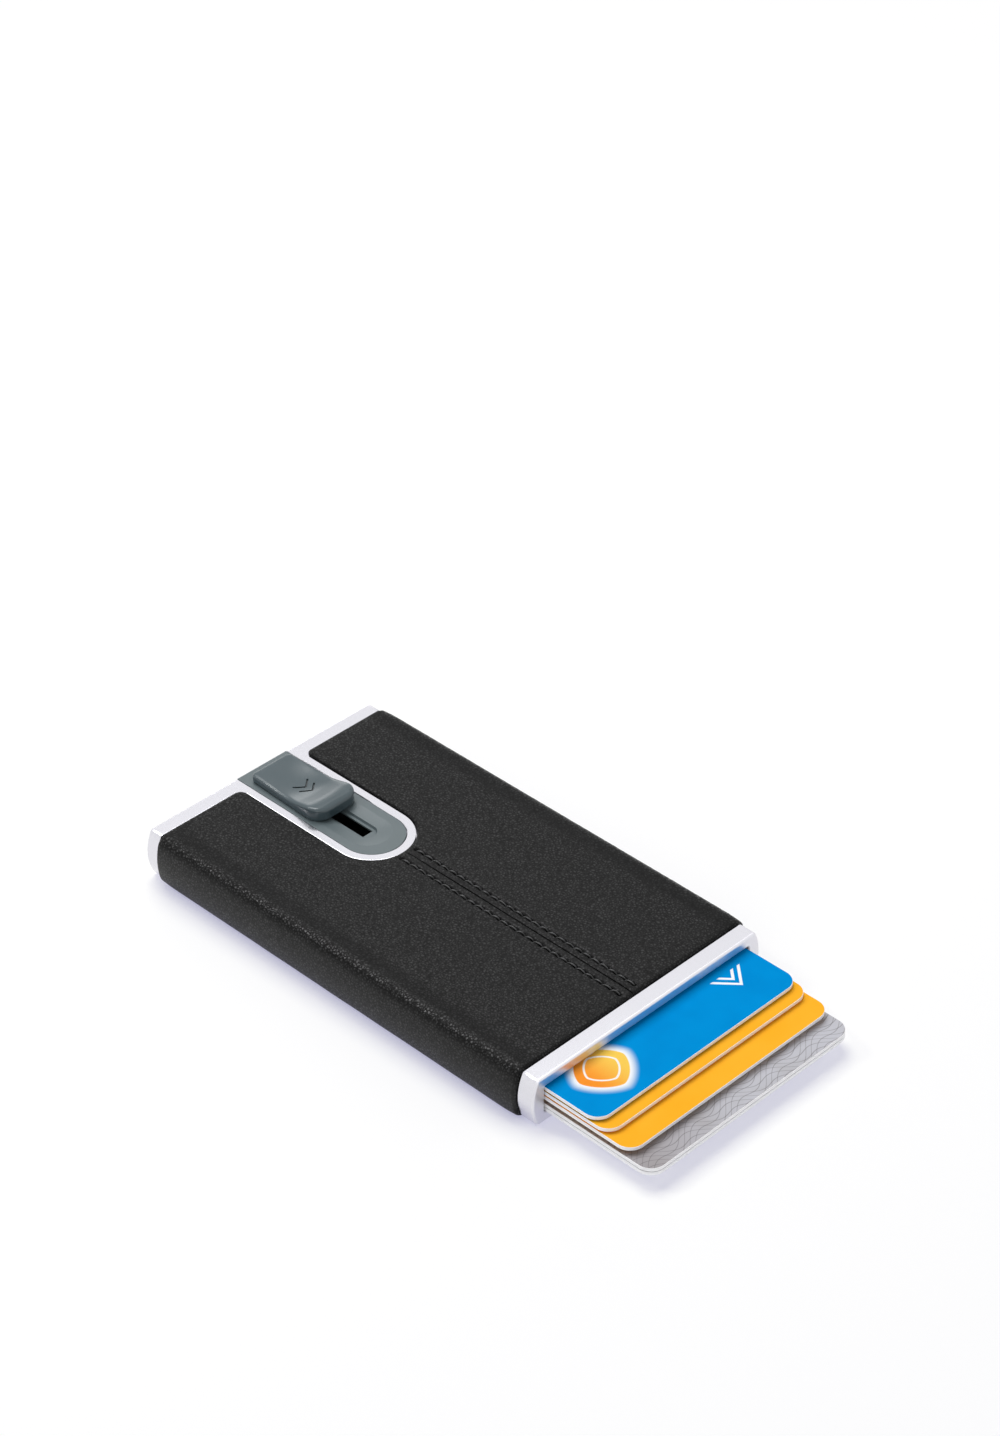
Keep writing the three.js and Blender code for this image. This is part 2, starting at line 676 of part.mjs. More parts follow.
const holder = new THREE.Group();
holder.add(
  piece('case_body', caseBody(), aluminium()),
  piece('leather_wrap', leatherWrap(), leather()),
  piece('stitch_row_left', stitchRow(-1), thread()),
  piece('stitch_row_right', stitchRow(1), thread()),
  piece('track_insert', trackInsert(), greyPlastic()),
  piece('rear_plug', rearPlug(), blackPlastic()),
  piece('plug_screw_left', plugScrew(-1), steel()),
  piece('plug_screw_right', plugScrew(1), steel()),
  piece('felt_strip_left', feltBlock(-1, 0), felt()),
  piece('felt_strip_right', feltBlock(1, 0), felt()),
  piece('pivot_rivet', pivotRivet(), steel()),
  piece('return_spring', returnSpring(), steel()),
  piece('stepped_lever', steppedLever(), blackPlastic()),
  piece('thumb_pad', thumbPad(), greyPlastic()),
  piece('pusher_shoe', pusherShoe(), blackPlastic()),
  piece('drive_pin', drivePin(), steel()),
  piece('pad_screw', padScrew(), steel()),
  piece('card_blue', card(topCardZ, topCardShown), blueCard()),
  piece('card_yellow_upper', card(secondCardZ, secondCardShown), yellowCard()),
  piece('card_yellow_lower', card(thirdCardZ, thirdCardShown), yellowCard()),
  piece('card_silver', card(fourthCardZ, lowCardsShown), silverCard()),
  piece('card_white', card(lowCardZ, lowCardsShown), whiteCard()),
);

export default holder;
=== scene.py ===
import math
import random

import bmesh
import bpy
from mathutils import Matrix, Vector, noise


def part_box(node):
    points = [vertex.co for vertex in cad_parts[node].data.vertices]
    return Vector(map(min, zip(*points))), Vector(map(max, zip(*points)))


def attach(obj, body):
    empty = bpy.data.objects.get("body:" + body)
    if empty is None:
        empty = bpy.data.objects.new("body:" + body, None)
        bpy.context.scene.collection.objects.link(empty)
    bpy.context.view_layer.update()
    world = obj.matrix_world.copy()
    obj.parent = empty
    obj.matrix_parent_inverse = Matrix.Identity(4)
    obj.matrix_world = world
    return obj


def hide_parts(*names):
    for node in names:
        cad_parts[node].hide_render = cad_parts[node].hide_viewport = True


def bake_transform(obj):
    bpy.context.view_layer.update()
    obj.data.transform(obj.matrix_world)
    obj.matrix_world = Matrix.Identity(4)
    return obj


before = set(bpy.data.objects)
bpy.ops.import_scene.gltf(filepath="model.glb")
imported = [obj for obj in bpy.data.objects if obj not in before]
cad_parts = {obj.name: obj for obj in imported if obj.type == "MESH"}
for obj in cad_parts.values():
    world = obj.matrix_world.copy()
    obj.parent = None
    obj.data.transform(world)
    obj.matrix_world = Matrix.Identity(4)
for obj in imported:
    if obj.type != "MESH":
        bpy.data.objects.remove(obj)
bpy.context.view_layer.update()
print("the packed model is loaded")

mm = 0.001  # pieces are made in millimetres, and scaled to metres when they are done
tiny = 0.0001  # points closer than this are one
weld = tiny * 5  # points of a cut or copied mesh closer than this are merged
touching = tiny * 10  # a point this near a plane lies in it, and an outline's ends meet
flatWithin = math.radians(0.4)  # faces of a copied mesh that turn less than this are one
overrun = 3.0  # how far a cutting form runs past what it cuts
roundSteps = 48  # sides of a bore, and steps of the track's half round front

# the sizes that several pieces share, as the CAD has them
holder = {
    "frontY": -52.0, "rearY": 52.0, "rimTop": 11.2, "trackCentreY": 20.41,
    "bayHalfWidth": 27.39, "bayLow": 2.85, "bayHigh": 9.05, "bayRadius": 0.6,
}


# nodes

class Wire:  # a socket that can stand in Python expressions
    def __init__(self, tree, socket):
        self.tree = tree
        self.socket = socket

    def node(self, kind, settings, sockets, output=0):
        made = self.tree.nodes.new("ShaderNode" + kind)
        for name, value in settings.items():
            setattr(made, name, value)
        setInputs(made, sockets)
        return Wire(self.tree, made.outputs[output])

    def math(self, operation, *values):
        return self.node("Math", {"operation": operation}, dict(enumerate(values)))

    def __add__(self, other):
        return self.math("ADD", self, other)

    def __sub__(self, other):
        return self.math("SUBTRACT", self, other)

    def __rsub__(self, other):
        return self.math("SUBTRACT", other, self)

    def __mul__(self, other):
        return self.math("MULTIPLY", self, other)

    def __truediv__(self, other):
        return self.math("DIVIDE", self, other)

    def __pow__(self, other):
        return self.math("POWER", self, other)

    def __abs__(self):
        return self.math("ABSOLUTE", self)

    __radd__, __rmul__ = __add__, __mul__


def setInputs(node, sockets):  # links the wires, and sets the plain values
    for name, value in sockets.items():
        if isinstance(value, Wire):
            value.tree.links.new(value.socket, node.inputs[name])
        else:
            node.inputs[name].default_value = value


def startMaterial(name):  # gives its tree too, and the places on the object
    material = bpy.data.materials.new(name)
    material.use_nodes = True
    tree = material.node_tree
    return material, tree, Wire(tree, tree.nodes.new("ShaderNodeTexCoord").outputs["Object"])


def newMaterial(name, finish, *more):  # finish gives the shader's inputs, from places in millimetres
    material, tree, places = startMaterial(name)
    places = places.node("VectorMath", {"operation": "SCALE"}, {0: places, "Scale": 1 / mm})
    setInputs(tree.nodes["Principled BSDF"], finish(places, *more))
    return material


def noiseAt(places, scale, detail=3.0, rough=0.5):  # three scales stretch it, for grain that runs one way
    if isinstance(scale, tuple):
        places = places.node("VectorMath", {"operation": "MULTIPLY"}, {0: places, 1: scale})
        scale = 1.0
    return places.node(
        "TexNoise", {}, {"Vector": places, "Scale": scale, "Detail": detail, "Roughness": rough})


def axisOf(places, axis):
    return places.node("SeparateXYZ", {}, {0: places}, "XYZ".index(axis))


def fade(value, low, high):  # 0 below low, 1 above high, smooth between; low may be the larger
    return value.node(
        "MapRange", {"interpolation_type": "SMOOTHSTEP"},
        {"Value": value, "From Min": low, "From Max": high, "To Min": 0.0, "To Max": 1.0})


def band(value, low, high, soft):  # 1 between low and high with soft edges inside, and 0 outside
    middle, half = (low + high) / 2, (high - low) / 2
    return fade(abs(value - middle), half, half - soft)


def insideBox(places, corner, opposite, soft):
    share = 1
    for axis, low, high in zip("XYZ", corner, opposite):
        share = band(axisOf(places, axis), low, high, soft) * share
    return share


def mixColour(share, first, second):
    return share.node("Mix", {"data_type": "RGBA"}, {0: share, 6: first, 7: second}, 2)


def bump(height, depth):  # depth in millimetres for a height of 1
    return height.node("Bump", {}, {"Distance": depth * mm, "Height": height})


# materials

def leatherFinish(places):
    look = {
        "valley": (0.0, 0.0, 0.0, 1), "crown": (0.011, 0.011, 0.0115, 1),
        # grain: pebbles that a slow noise bends, and longer creases over them
        "pebbles": 2.5, "pebbleEdge": 0.4, "pebbleHeight": 0.45, "bends": 0.3, "bendScale": 0.9,
        "creases": (3.1, 1.7, 3.1), "creaseHeight": 1.1, "patches": 0.11, "grainDepth": 0.03,
        # heights of the grain between which it turns paler, and shines
        "paleFrom": (0.4, 1.25), "shineFrom": (0.45, 1.25), "ridgeFrom": (0.65, 1.2),
        # along each side lie a dull valley, a rubbed ridge and the glossier wall
        "valleyX": 26.7, "valleyReach": (2.6, 0.4), "ridgeX": 29.5, "ridgeReach": (0.9, 0.2),
        "wallX": (29.9, 30.9), "valleyDulls": 0.75, "ridgeShine": 0.8, "wallShine": 0.3,
        "shine": 0.4, "patchShine": 0.06, "roughness": 0.6, "pebbleSmooths": 0.1, "patchRoughness": 0.12,
    }
    slow = places.node("TexNoise", {}, {"Vector": places, "Scale": look["bendScale"]}, 1)
    bent = places.node("Mix", {"data_type": "VECTOR"}, {0: look["bends"], 4: places, 5: slow}, 1)
    cells = places.node(
        "TexVoronoi", {"feature": "DISTANCE_TO_EDGE"}, {"Vector": bent, "Scale": look["pebbles"]})
    pebbles = fade(cells, 0.0, look["pebbleEdge"])
    creases = noiseAt(places, look["creases"], 4.0, 0.6)
    patches = noiseAt(places, look["patches"], 2.0)
    height = pebbles * look["pebbleHeight"] + creases * look["creaseHeight"]
    aside = abs(axisOf(places, "X"))
    valley = fade(abs(aside - look["valleyX"]), *look["valleyReach"])
    ridge = fade(abs(aside - look["ridgeX"]), *look["ridgeReach"])
    shine = fade(height, *look["shineFrom"]) * look["shine"] + patches * look["patchShine"]
    shine = shine * (1 - valley * look["valleyDulls"])
    shine = shine + ridge * fade(height, *look["ridgeFrom"]) * look["ridgeShine"]
    roughness = look["roughness"] - pebbles * look["pebbleSmooths"]
    return {
        "Base Color": mixColour(fade(height, *look["paleFrom"]), look["valley"], look["crown"]),
        "Roughness": roughness + (patches - 0.5) * look["patchRoughness"],
        "Specular IOR Level": 0.1,
        "Coat Weight": shine + fade(aside, *look["wallX"]) * look["wallShine"],
        "Coat Roughness": 0.34,
        "Coat IOR": 1.45,
        "Normal": bump(height, look["grainDepth"]),
    }


def threadFinish(places):
    look = {
        "dark": (0.002, 0.002, 0.002, 1), "light": (0.055, 0.055, 0.058, 1),
        "twist": 1.6, "lean": 1.2, "depth": 0.05,
    }
    # the twist's ridges and their bump are real; the paler tone on the ridges is a painted highlight
    slanted = axisOf(places, "Y") * look["twist"] + axisOf(places, "X") * look["twist"] * look["lean"]
    angle = slanted * math.pi
    twistAndHighlight = angle.math("SINE", angle) * 0.5 + 0.5
    return {
        "Base Color": mixColour(twistAndHighlight, look["dark"], look["light"]),
        "Roughness": 0.42,
        "Normal": bump(twistAndHighlight, look["depth"]),
    }


def aluminiumFinish(places):
    look = {
        "colour": (0.775, 0.77, 0.82, 1), "worn": (0.70, 0.695, 0.74, 1), "dark": (0.015, 0.015, 0.016, 1),
        "grain": (1.6, 0.07, 1.6), "grainWear": 0.4, "depth": 0.001, "patches": 0.16, "patchWear": 0.6,
        "roughness": 0.14, "grainRoughness": 0.03, "patchRoughness": 0.06,
        "milledY": (-51.3, -51.8), "milledRoughness": 0.22,
        # painted shade: under the leather's seam and inside the bay it is dark, rough and not metal
        "underSeam": ((-0.6, -48.1, 9.8), (0.6, 12.0, 10.7)), "softEdge": 0.1,
        "bayFront": (-50.5, -48.0), "bayMargin": 0.2, "paintedShadeRoughness": 0.4,
    }
    grain = noiseAt(places, look["grain"], 2.0)
    patches = noiseAt(places, look["patches"])
    along, soft, margin = axisOf(places, "Y"), look["softEdge"], look["bayMargin"]
    half, low, high = holder["bayHalfWidth"] + margin, holder["bayLow"] - margin, holder["bayHigh"] + margin
    bay = insideBox(places, (-half, holder["frontY"], low), (half, holder["rearY"] - soft, high), soft)
    underSeam = insideBox(places, *look["underSeam"], soft)
    # painted shade: the metal is painted dark where the seam's gap and the bay lie in shade
    dark = underSeam.math("MAXIMUM", underSeam, bay * fade(along, *look["bayFront"]))
    wear = grain * look["grainWear"] + patches * look["patchWear"]
    roughness = look["roughness"] + grain * look["grainRoughness"] + patches * look["patchRoughness"]
    roughness = roughness + fade(along, *look["milledY"]) * look["milledRoughness"]
    return {
        "Base Color": mixColour(dark, mixColour(wear, look["colour"], look["worn"]), look["dark"]),
        "Metallic": 1 - dark,
        "Roughness": roughness + dark * look["paintedShadeRoughness"],
        "Normal": bump(grain, look["depth"]),
    }


def steelFinish(places):
    look = {
        "light": (0.62, 0.62, 0.64, 1), "dark": (0.46, 0.46, 0.48, 1), "stains": 0.8,
        "tooling": (2.0, 2.0, 16.0), "roughness": 0.22, "toolingRoughness": 0.16, "depth": 0.004,
    }
    tooling = noiseAt(places, look["tooling"], 2.0)
    return {
        "Base Color": mixColour(noiseAt(places, look["stains"]), look["light"], look["dark"]),
        "Metallic": 1.0,
        "Roughness": look["roughness"] + tooling * look["toolingRoughness"],
        "Normal": bump(tooling, look["depth"]),
    }


def feltFinish(places):
    look = {
        "dark": (0.008, 0.008, 0.009, 1), "light": (0.03, 0.03, 0.032, 1),
        "fibres": (6.0, 2.8, 6.0), "depth": 0.12,
    }
    fibres = noiseAt(places, look["fibres"], 5.0, 0.7)
    return {
        "Base Color": mixColour(fibres, look["dark"], look["light"]),
        "Roughness": 0.95,
        "Sheen Weight": 0.4,
        "Normal": bump(fibres, look["depth"]),
    }


# each plastic's colour, roughness, depth of its skin's grain and specular level
plastics = {
    "grey_plastic": ((0.058, 0.087, 0.1, 1), 0.23, 0.003, 0.6),
    "grey_plastic_plate": ((0.107, 0.138, 0.148, 1), 0.4, 0.006, 0.5),
    # the engraving's plastic is a darker copy of the pad's, painted shade in the chevrons' grooves
    "grey_plastic_engraving_painted_shade": ((0.022, 0.032, 0.037, 1), 0.5, 0.004, 0.5),
    "black_plastic": ((0.02, 0.021, 0.023, 1), 0.45, 0.02, 0.5),
}


def plasticFinish(places, name):
    look = {"skin": 3.5, "skinShare": 0.3, "clouds": 0.25, "cloudShare": 0.7, "darker": 0.88, "uneven": 0.12}
    colour, roughness, depth, specular = plastics[name]
    skin = noiseAt(places, look["skin"])
    clouds = noiseAt(places, look["clouds"])
    darker = (*(c * look["darker"] for c in colour[:3]), 1)
    return {
        "Base Color": mixColour(clouds * look["cloudShare"] + skin * look["skinShare"], darker, colour),
        "Roughness": roughness + (clouds - 0.5) * look["uneven"],
        "Specular IOR Level": specular,
        "Normal": bump(skin, depth),
    }


materials = {
    "leather": newMaterial("black_leather", leatherFinish),
    "thread": newMaterial("black_thread", threadFinish),
    "aluminium": newMaterial("satin_aluminium", aluminiumFinish),
    "steel": newMaterial("turned_steel", steelFinish),
    "felt": newMaterial("black_felt", feltFinish),
    **{name: newMaterial(name, plasticFinish, name) for name in plastics},
}
print("materials are made")


# meshes

def vertsIn(geometry):
    return [g for g in geometry if isinstance(g, bmesh.types.BMVert)]


def move(bm, offset, verts=None):
    bmesh.ops.translate(bm, vec=offset, verts=verts or bm.verts)


def stretch(bm, factors, verts=None, about=(0, 0, 0)):
    space = Matrix.Translation(-Vector(about))
    bmesh.ops.scale(bm, vec=factors, verts=verts or bm.verts, space=space)


def turn(bm, degrees, axis, verts=None):  # about the origin
    matrix = Matrix.Rotation(math.radians(degrees), 3, axis)
    bmesh.ops.rotate(bm, cent=(0, 0, 0), matrix=matrix, verts=verts or bm.verts)


def merge(bm, distance, verts=None):
    bmesh.ops.remove_doubles(bm, verts=verts or bm.verts, dist=distance)


def traceOutline(bm, start, moves):  # a face whose outline goes by lines and turns, back to its start
    tip = bm.verts.new(start)
    for step in moves:
        if len(step) == 3:
            tip = bmesh.ops.extrude_vert_indiv(bm, verts=[tip])["verts"][0]
            tip.co = step
            continue
        centre, axis, angle, steps = step
        turned = bmesh.ops.spin(bm, geom=[tip], cent=centre, axis=axis, angle=angle, steps=steps)
        tip = vertsIn(turned["geom_last"])[0]
    merge(bm, touching)
    return bmesh.ops.contextual_create(bm, geom=bm.edges)["faces"]


def extend(bm, faces, offset):  # pushes the faces out by an offset, and gives the new ones
    grown = bmesh.ops.extrude_face_region(bm, geom=faces)["geom"]
    move(bm, offset, vertsIn(grown))
    covered = [f for f in faces if f.is_valid and any(len(e.link_faces) > 2 for e in f.edges)]
    bmesh.ops.delete(bm, geom=covered, context="FACES_ONLY")
    return [g for g in grown if isinstance(g, bmesh.types.BMFace)]


def flare(bm, face, offset, factors, about, further):  # a small slant to a wider end, and on from there
    face = extend(bm, face, offset)
    stretch(bm, factors, face[0].verts[:], about)
    extend(bm, face, further)


def edgesAt(bm, axis, place):  # the edges that lie in one plane across an axis
    return [e for e in bm.edges if all(abs(v.co[axis] - place) < touching for v in e.verts)]


def bevel(bm, parts, width, segments, affect="EDGES"):
    bmesh.ops.bevel(
        bm, geom=parts, offset=width, offset_type="OFFSET", segments=segments, profile=0.5,
        affect=affect, material=-1)


def swollenSection(size):  # a section with flat top and bottom, round corners, and sides that swell
    rise, middle = (size["high"] - size["low"]) / 2, (size["high"] + size["low"]) / 2
    swell = (rise ** 2 + size["bulge"] ** 2) / (2 * size["bulge"])  # radius of a side
    centre = size["halfWidth"] - swell
    spread = math.asin((rise - size["radius"]) / (swell - size["radius"]))  # half the angle of a side
    edge = centre + (swell - size["radius"]) * math.cos(spread)  # where the flat top ends
    return middle, swell, centre, spread, edge


def trackForm(halfWidth, endY, low, high):  # with a half round front; gives its top face too
    bm = bmesh.new()
    centreY = holder["trackCentreY"]
    face = traceOutline(bm, (halfWidth, centreY, low), [
        (halfWidth, endY, low), (-halfWidth, endY, low), (-halfWidth, centreY, low),
        ((0, centreY, low), (0, 0, 1), math.pi, roundSteps),
    ])
    return bm, extend(bm, face, (0, 0, high - low))


def flatFace(halfX, halfY):
    bm = bmesh.new()
    bmesh.ops.create_grid(bm, x_segments=1, y_segments=1, size=1)
    stretch(bm, (halfX, halfY, 1))
    return bm


def block(corner, opposite):
    bm = bmesh.new()
    bmesh.ops.create_cube(bm, size=1)
    stretch(bm, [abs(b - a) for a, b in zip(corner, opposite)])
    move(bm, (Vector(corner) + Vector(opposite)) / 2)
    return bm


def roundBar(x, y, radius, low, high, topRadius=None, sides=roundSteps):
    bm = bmesh.new()
    bmesh.ops.create_cone(
        bm, cap_ends=True, segments=sides, radius1=radius, radius2=topRadius or radius, depth=high - low)
    move(bm, (x, y, (low + high) / 2))
    return bm


def meshObject(name, bm):
    mesh = bpy.data.meshes.new(name)
    bm.to_mesh(mesh)
    bm.free()
    return addObject(name, mesh)


def addObject(name, data):
    made = bpy.data.objects.new(name, data)
    bpy.context.scene.collection.objects.link(made)
    return made


def looseObject(bm):
    bmesh.ops.recalc_face_normals(bm, faces=bm.faces)
    return meshObject("loose", bm)


def combine(start, joined=(), cut=(), shared=()):  # with whole meshes, in this order
    base = looseObject(start)
    tools = []
    for operation, forms in (("UNION", joined), ("DIFFERENCE", cut), ("INTERSECT", shared)):
        for form in forms:
            tools.append(looseObject(form))
            step = base.modifiers.new("step", "BOOLEAN")
            step.operation, step.object, step.solver = operation, tools[-1], "EXACT"
    mesh = bpy.data.meshes.new_from_object(base.evaluated_get(bpy.context.evaluated_depsgraph_get()))
    result = bmesh.new()
    result.from_mesh(mesh)
    for used in [base, *tools]:
        bpy.data.meshes.remove(used.data)
    bpy.data.meshes.remove(mesh)
    merge(result, weld)
    bmesh.ops.dissolve_degenerate(result, edges=result.edges, dist=weld)
    return result


def nodeMesh(name):  # a merged copy of a CAD node's mesh, in millimetres
    bm = bmesh.new()
    bm.from_mesh(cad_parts[name].data)
    stretch(bm, (1 / mm, 1 / mm, 1 / mm))
    merge(bm, weld)
    bmesh.ops.dissolve_limit(bm, angle_limit=flatWithin, verts=bm.verts, edges=bm.edges)
    return bm


def finishPiece(name, bm, body, node, slot, sharpAngle=32.0, looks=None, edge=None):
    bmesh.ops.recalc_face_normals(bm, faces=bm.faces)
    stretch(bm, (mm, mm, mm))
    piece = meshObject(name, bm)
    piece.data.shade_smooth()
    piece.data.set_sharp_from_angle(angle=math.radians(sharpAngle))
    for look in looks or [materials[slot]]:
        piece.data.materials.append(look)
    if edge:
        rounding = piece.modifiers.new("edges", "BEVEL")
        rounding.width, rounding.segments = edge[0] * mm, edge[1]
        rounding.limit_method, rounding.angle_limit = "ANGLE", math.radians(sharpAngle)
    levelling = piece.modifiers.new("normals", "WEIGHTED_NORMAL")
    levelling.keep_sharp = True
    if body:
        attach(piece, body)
    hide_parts(node)
    print(name, "is made")
    return piece


# sleeve: one metal body with two rims, the border of the track, and the bay for the cards

sleeve = {
    "core": {"halfWidth": 29.66, "low": 1.4, "high": 10.5, "bulge": 1.35, "radius": 0.7},
    "rim": {"halfWidth": 30.36, "low": 0.7, "high": 11.2, "bulge": 1.35, "radius": 0.7},
    "cornerSteps": 6, "sideSteps": 14, "coreInset": 1.0,
    "frontRim": 3.85, "rearRim": 3.25, "outerEdge": (0.5, 5), "innerEdge": (0.14, 2),  # width, segments
    "borderHalfWidth": 8.4, "borderFoot": 0.2, "borderOverlap": 1.0,
    "pocketHalfWidth": 6.6, "pocketFloor": 9.9, "pocketEdge": 0.12, "mouthEdge": 0.16, "bayCornerSteps": 6,
    "filletTrim": 0.4, "filletOverlap": 0.3, "filletSink": 0.1,
    "window": ((-2.0, 21.1, 7.0), (2.0, 43.0, 12.0)),
    "feltRecess": ((27.0, -49.05, 3.65), (27.84, -19.95, 8.25)),
    # x, y, radius and height of the bores from below: shank and head of the rivet, then of each screw
    "bores": [
        (-15.718, 37.6, 1.05, 4.0), (-15.718, 37.6, 2.35, 2.05), (-21.59, 50.4, 0.8, 4.0),
        (-21.59, 50.4, 1.35, 1.5), (21.59, 50.4, 0.8, 4.0), (21.59, 50.4, 1.35, 1.5),
    ],
}


# the leather's sizes stand here, because the metal is filled out round its corners
leather = {
    "halfWidth": 31.16, "low": 0.0, "high": 11.9, "bulge": 1.2, "radius": 2.9, "frontY": -48.0, "rearY": 48.6,
    "borderGap": 0.15, "cornerRadius": 1.7, "thickness": 1.34, "thinnest": 0.12, "roll": 0.7,
    # the roll of the seam's edges shrinks to a last share between two places along y
    "seamHalf": 0.08, "seamRoll": 0.22, "seamShutsY": (3.0, 8.5), "seamShut": 0.08,
    "rowX": 1.95, "rowStartY": 10.4, "pitch": 2.18, "stitches": 26, "rowEnd": 0.5,
    "grooveDepth": 0.36, "grooveReach": 0.38, "holeDepth": 0.8, "holeReach": 0.34,
    # softer forms: padding that sinks at every edge, a valley and a crinkled ridge by each side, waves
    "topHalf": 26.0, "padding": 0.16, "paddingReach": 2.2, "waves": 0.06, "waveScale": 0.16, "waveSlice": 3.7,
    "valleyDepth": 0.13, "valleyInside": 1.6, "valleyReach": 1.3,
    "crinkle": 0.06, "crinkleOutside": 0.6, "crinkleReach": 2.4, "crinkleScales": (0.91, 1.69),
    "crinkleSlice": 11.83,
    # its points' distances from seam and ends, and how many rows and columns lie beyond them
    "edgeSteps": [0, 0.05, 0.12, 0.22, 0.36, 0.55, 0.8, 1.1],
    "sewnSteps": [1.3, 1.46, 1.6, 1.71, 1.81, 1.9, 1.99, 2.1, 2.25, 2.45, 2.8, 3.4, 4.2],
    "sewnRows": 210, "sewnPast": 0.4, "roundRows": 26, "rearRows": 56,
    "topColumns": 13, "cornerColumns": 8, "sideColumns": 12, "bottomColumns": 10,
}
cutOut = sleeve["borderHalfWidth"] + leather["borderGap"]  # half width of the leather's cut-out
leatherFlat = swollenSection(leather)[-1]  # half width of its flat top


def swollenFace(bm, size, y):
    middle, swell, centre, spread, edge = swollenSection(size)
    towards = (0, -1, 0)
    corner = (towards, math.pi / 2 - spread, sleeve["cornerSteps"])
    side = (towards, spread * 2, sleeve["sideSteps"])
    low, high = size["low"] + size["radius"], size["high"] - size["radius"]
    return traceOutline(bm, (-edge, y, size["low"]), [
        (edge, y, size["low"]),
        ((edge, y, low), *corner), ((centre, y, middle), *side), ((edge, y, high), *corner),
        (-edge, y, size["high"]),
        ((-edge, y, high), *corner), ((-centre, y, middle), *side), ((-edge, y, low), *corner),
    ])


def rimSolid(outerY, innerY):
    bm = bmesh.new()
    near, far = sorted((outerY, innerY))
    extend(bm, swollenFace(bm, sleeve["rim"], near), (0, far - near, 0))
    bevel(bm, edgesAt(bm, 1, outerY), *sleeve["outerEdge"])
    bevel(bm, edgesAt(bm, 1, innerY), *sleeve["innerEdge"])
    return bm


def borderSolid(rearIn):
    foot, end = sleeve["pocketFloor"] - sleeve["borderFoot"], rearIn + sleeve["borderOverlap"]
    bm, top = trackForm(sleeve["borderHalfWidth"], end, foot, holder["rimTop"])
    bevel(bm, list(top[0].edges), *sleeve["innerEdge"])
    return bm


def pocketSolid():
    half, edge, end = sleeve["pocketHalfWidth"], sleeve["pocketEdge"], holder["rearY"] + overrun
    bm, top = trackForm(half, end, sleeve["pocketFloor"], holder["rimTop"] - edge)
    wider = 1 + edge / half
    flare(bm, top, (0, 0, edge), (wider, wider, 1), (0, holder["trackCentreY"], 0), (0, 0, overrun))
    return bm


def baySolid():
    half, low, high, edge = holder["bayHalfWidth"], holder["bayLow"], holder["bayHigh"], sleeve["mouthEdge"]
    middle, halfHeight = (high + low) / 2, (high - low) / 2
    front, rear = holder["frontY"], holder["rearY"] + overrun
    bm = flatFace(half, halfHeight)
    bevel(bm, bm.verts[:], holder["bayRadius"], sleeve["bayCornerSteps"], "VERTICES")
    turn(bm, 90, "X")
    move(bm, (0, rear, middle))
    face = extend(bm, bm.faces[:], (0, front + edge - rear, 0))
    wider = (1 + edge / half, 1, 1 + edge / halfHeight)
    flare(bm, face, (0, -edge, 0), wider, (0, 0, middle), (0, -overrun, 0))
    return bm


def cornerFillet(side, rearIn):  # metal in the round corner between border and rear rim
    corner, trim, overlap = leather["cornerRadius"], sleeve["filletTrim"], sleeve["filletOverlap"]
    x, y = cutOut + corner, leather["rearY"] - corner
    top, floorZ = holder["rimTop"], sleeve["core"]["high"] - sleeve["filletSink"]
    near = side * (sleeve["borderHalfWidth"] - overlap)
    filled = block((near, y + trim, floorZ), (side * (x - trim), rearIn + overlap, top))
    leatherCorner = roundBar(side * x, y, corner + leather["borderGap"], floorZ - overrun, top + overrun)
    return combine(filled, cut=[leatherCorner])


def sleeveBody():
    front, rear = holder["frontY"], holder["rearY"]
    frontIn, rearIn = front + sleeve["frontRim"], rear - sleeve["rearRim"]
    inset = sleeve["coreInset"]
    core = bmesh.new()
    extend(core, swollenFace(core, sleeve["core"], front + inset), (0, rear - front - inset * 2, 0))
    joined = [rimSolid(front, frontIn), rimSolid(rear, rearIn), borderSolid(rearIn)]
    joined += [cornerFillet(side, rearIn) for side in (1, -1)]
    cuts = [baySolid(), pocketSolid(), block(*sleeve["window"])]
    cuts += [roundBar(x, y, radius, 0, top) for x, y, radius, top in sleeve["bores"]]
    (x0, y0, z0), (x1, y1, z1) = sleeve["feltRecess"]
    cuts += [block((side * x0, y0, z0), (side * x1, y1, z1)) for side in (-1, 1)]
    body = combine(core, joined, cuts)
    finishPiece("metal_sleeve", body, "case", "case_body", "aluminium")


sleeveBody()


# leather: one sheet round the sleeve, rolled over at every edge and sewn beside its centre seam

def spacedBetween(low, high, steps):  # the stations from low to high, without low itself
    return [low + (high - low) * (i + 1) / steps for i in range(steps)]


def leatherRows():
    edge, centreY = leather["edgeSteps"], holder["trackCentreY"]
    sewnEnd, apex = leather["rowStartY"] + leather["sewnPast"], centreY - cutOut
    rows = [leather["frontY"] + e for e in edge]
    rows += spacedBetween(rows[-1], sewnEnd, leather["sewnRows"])
    rows += [apex - e for e in reversed(edge) if apex - e > sewnEnd]
    rows += [centreY - cutOut * math.cos(t) for t in spacedBetween(0, math.pi / 2, leather["roundRows"])]
    rows += spacedBetween(rows[-1], leather["rearY"] - leather["cornerRadius"], leather["rearRows"])
    rows += [leather["rearY"] - e for e in reversed(edge)]
    return rows


def innerEdge(y):  # where the leather starts beside the seam, the border or the rear corner
    ahead = holder["trackCentreY"] - y
    if ahead >= cutOut:
        return leather["seamHalf"]
    if ahead > 0:
        return max(math.sqrt(cutOut ** 2 - ahead ** 2), leather["seamHalf"])
    corner = leather["cornerRadius"]
    past = max(y - (leather["rearY"] - corner), 0)
    return cutOut + corner - math.sqrt(max(corner ** 2 - past ** 2, 0))


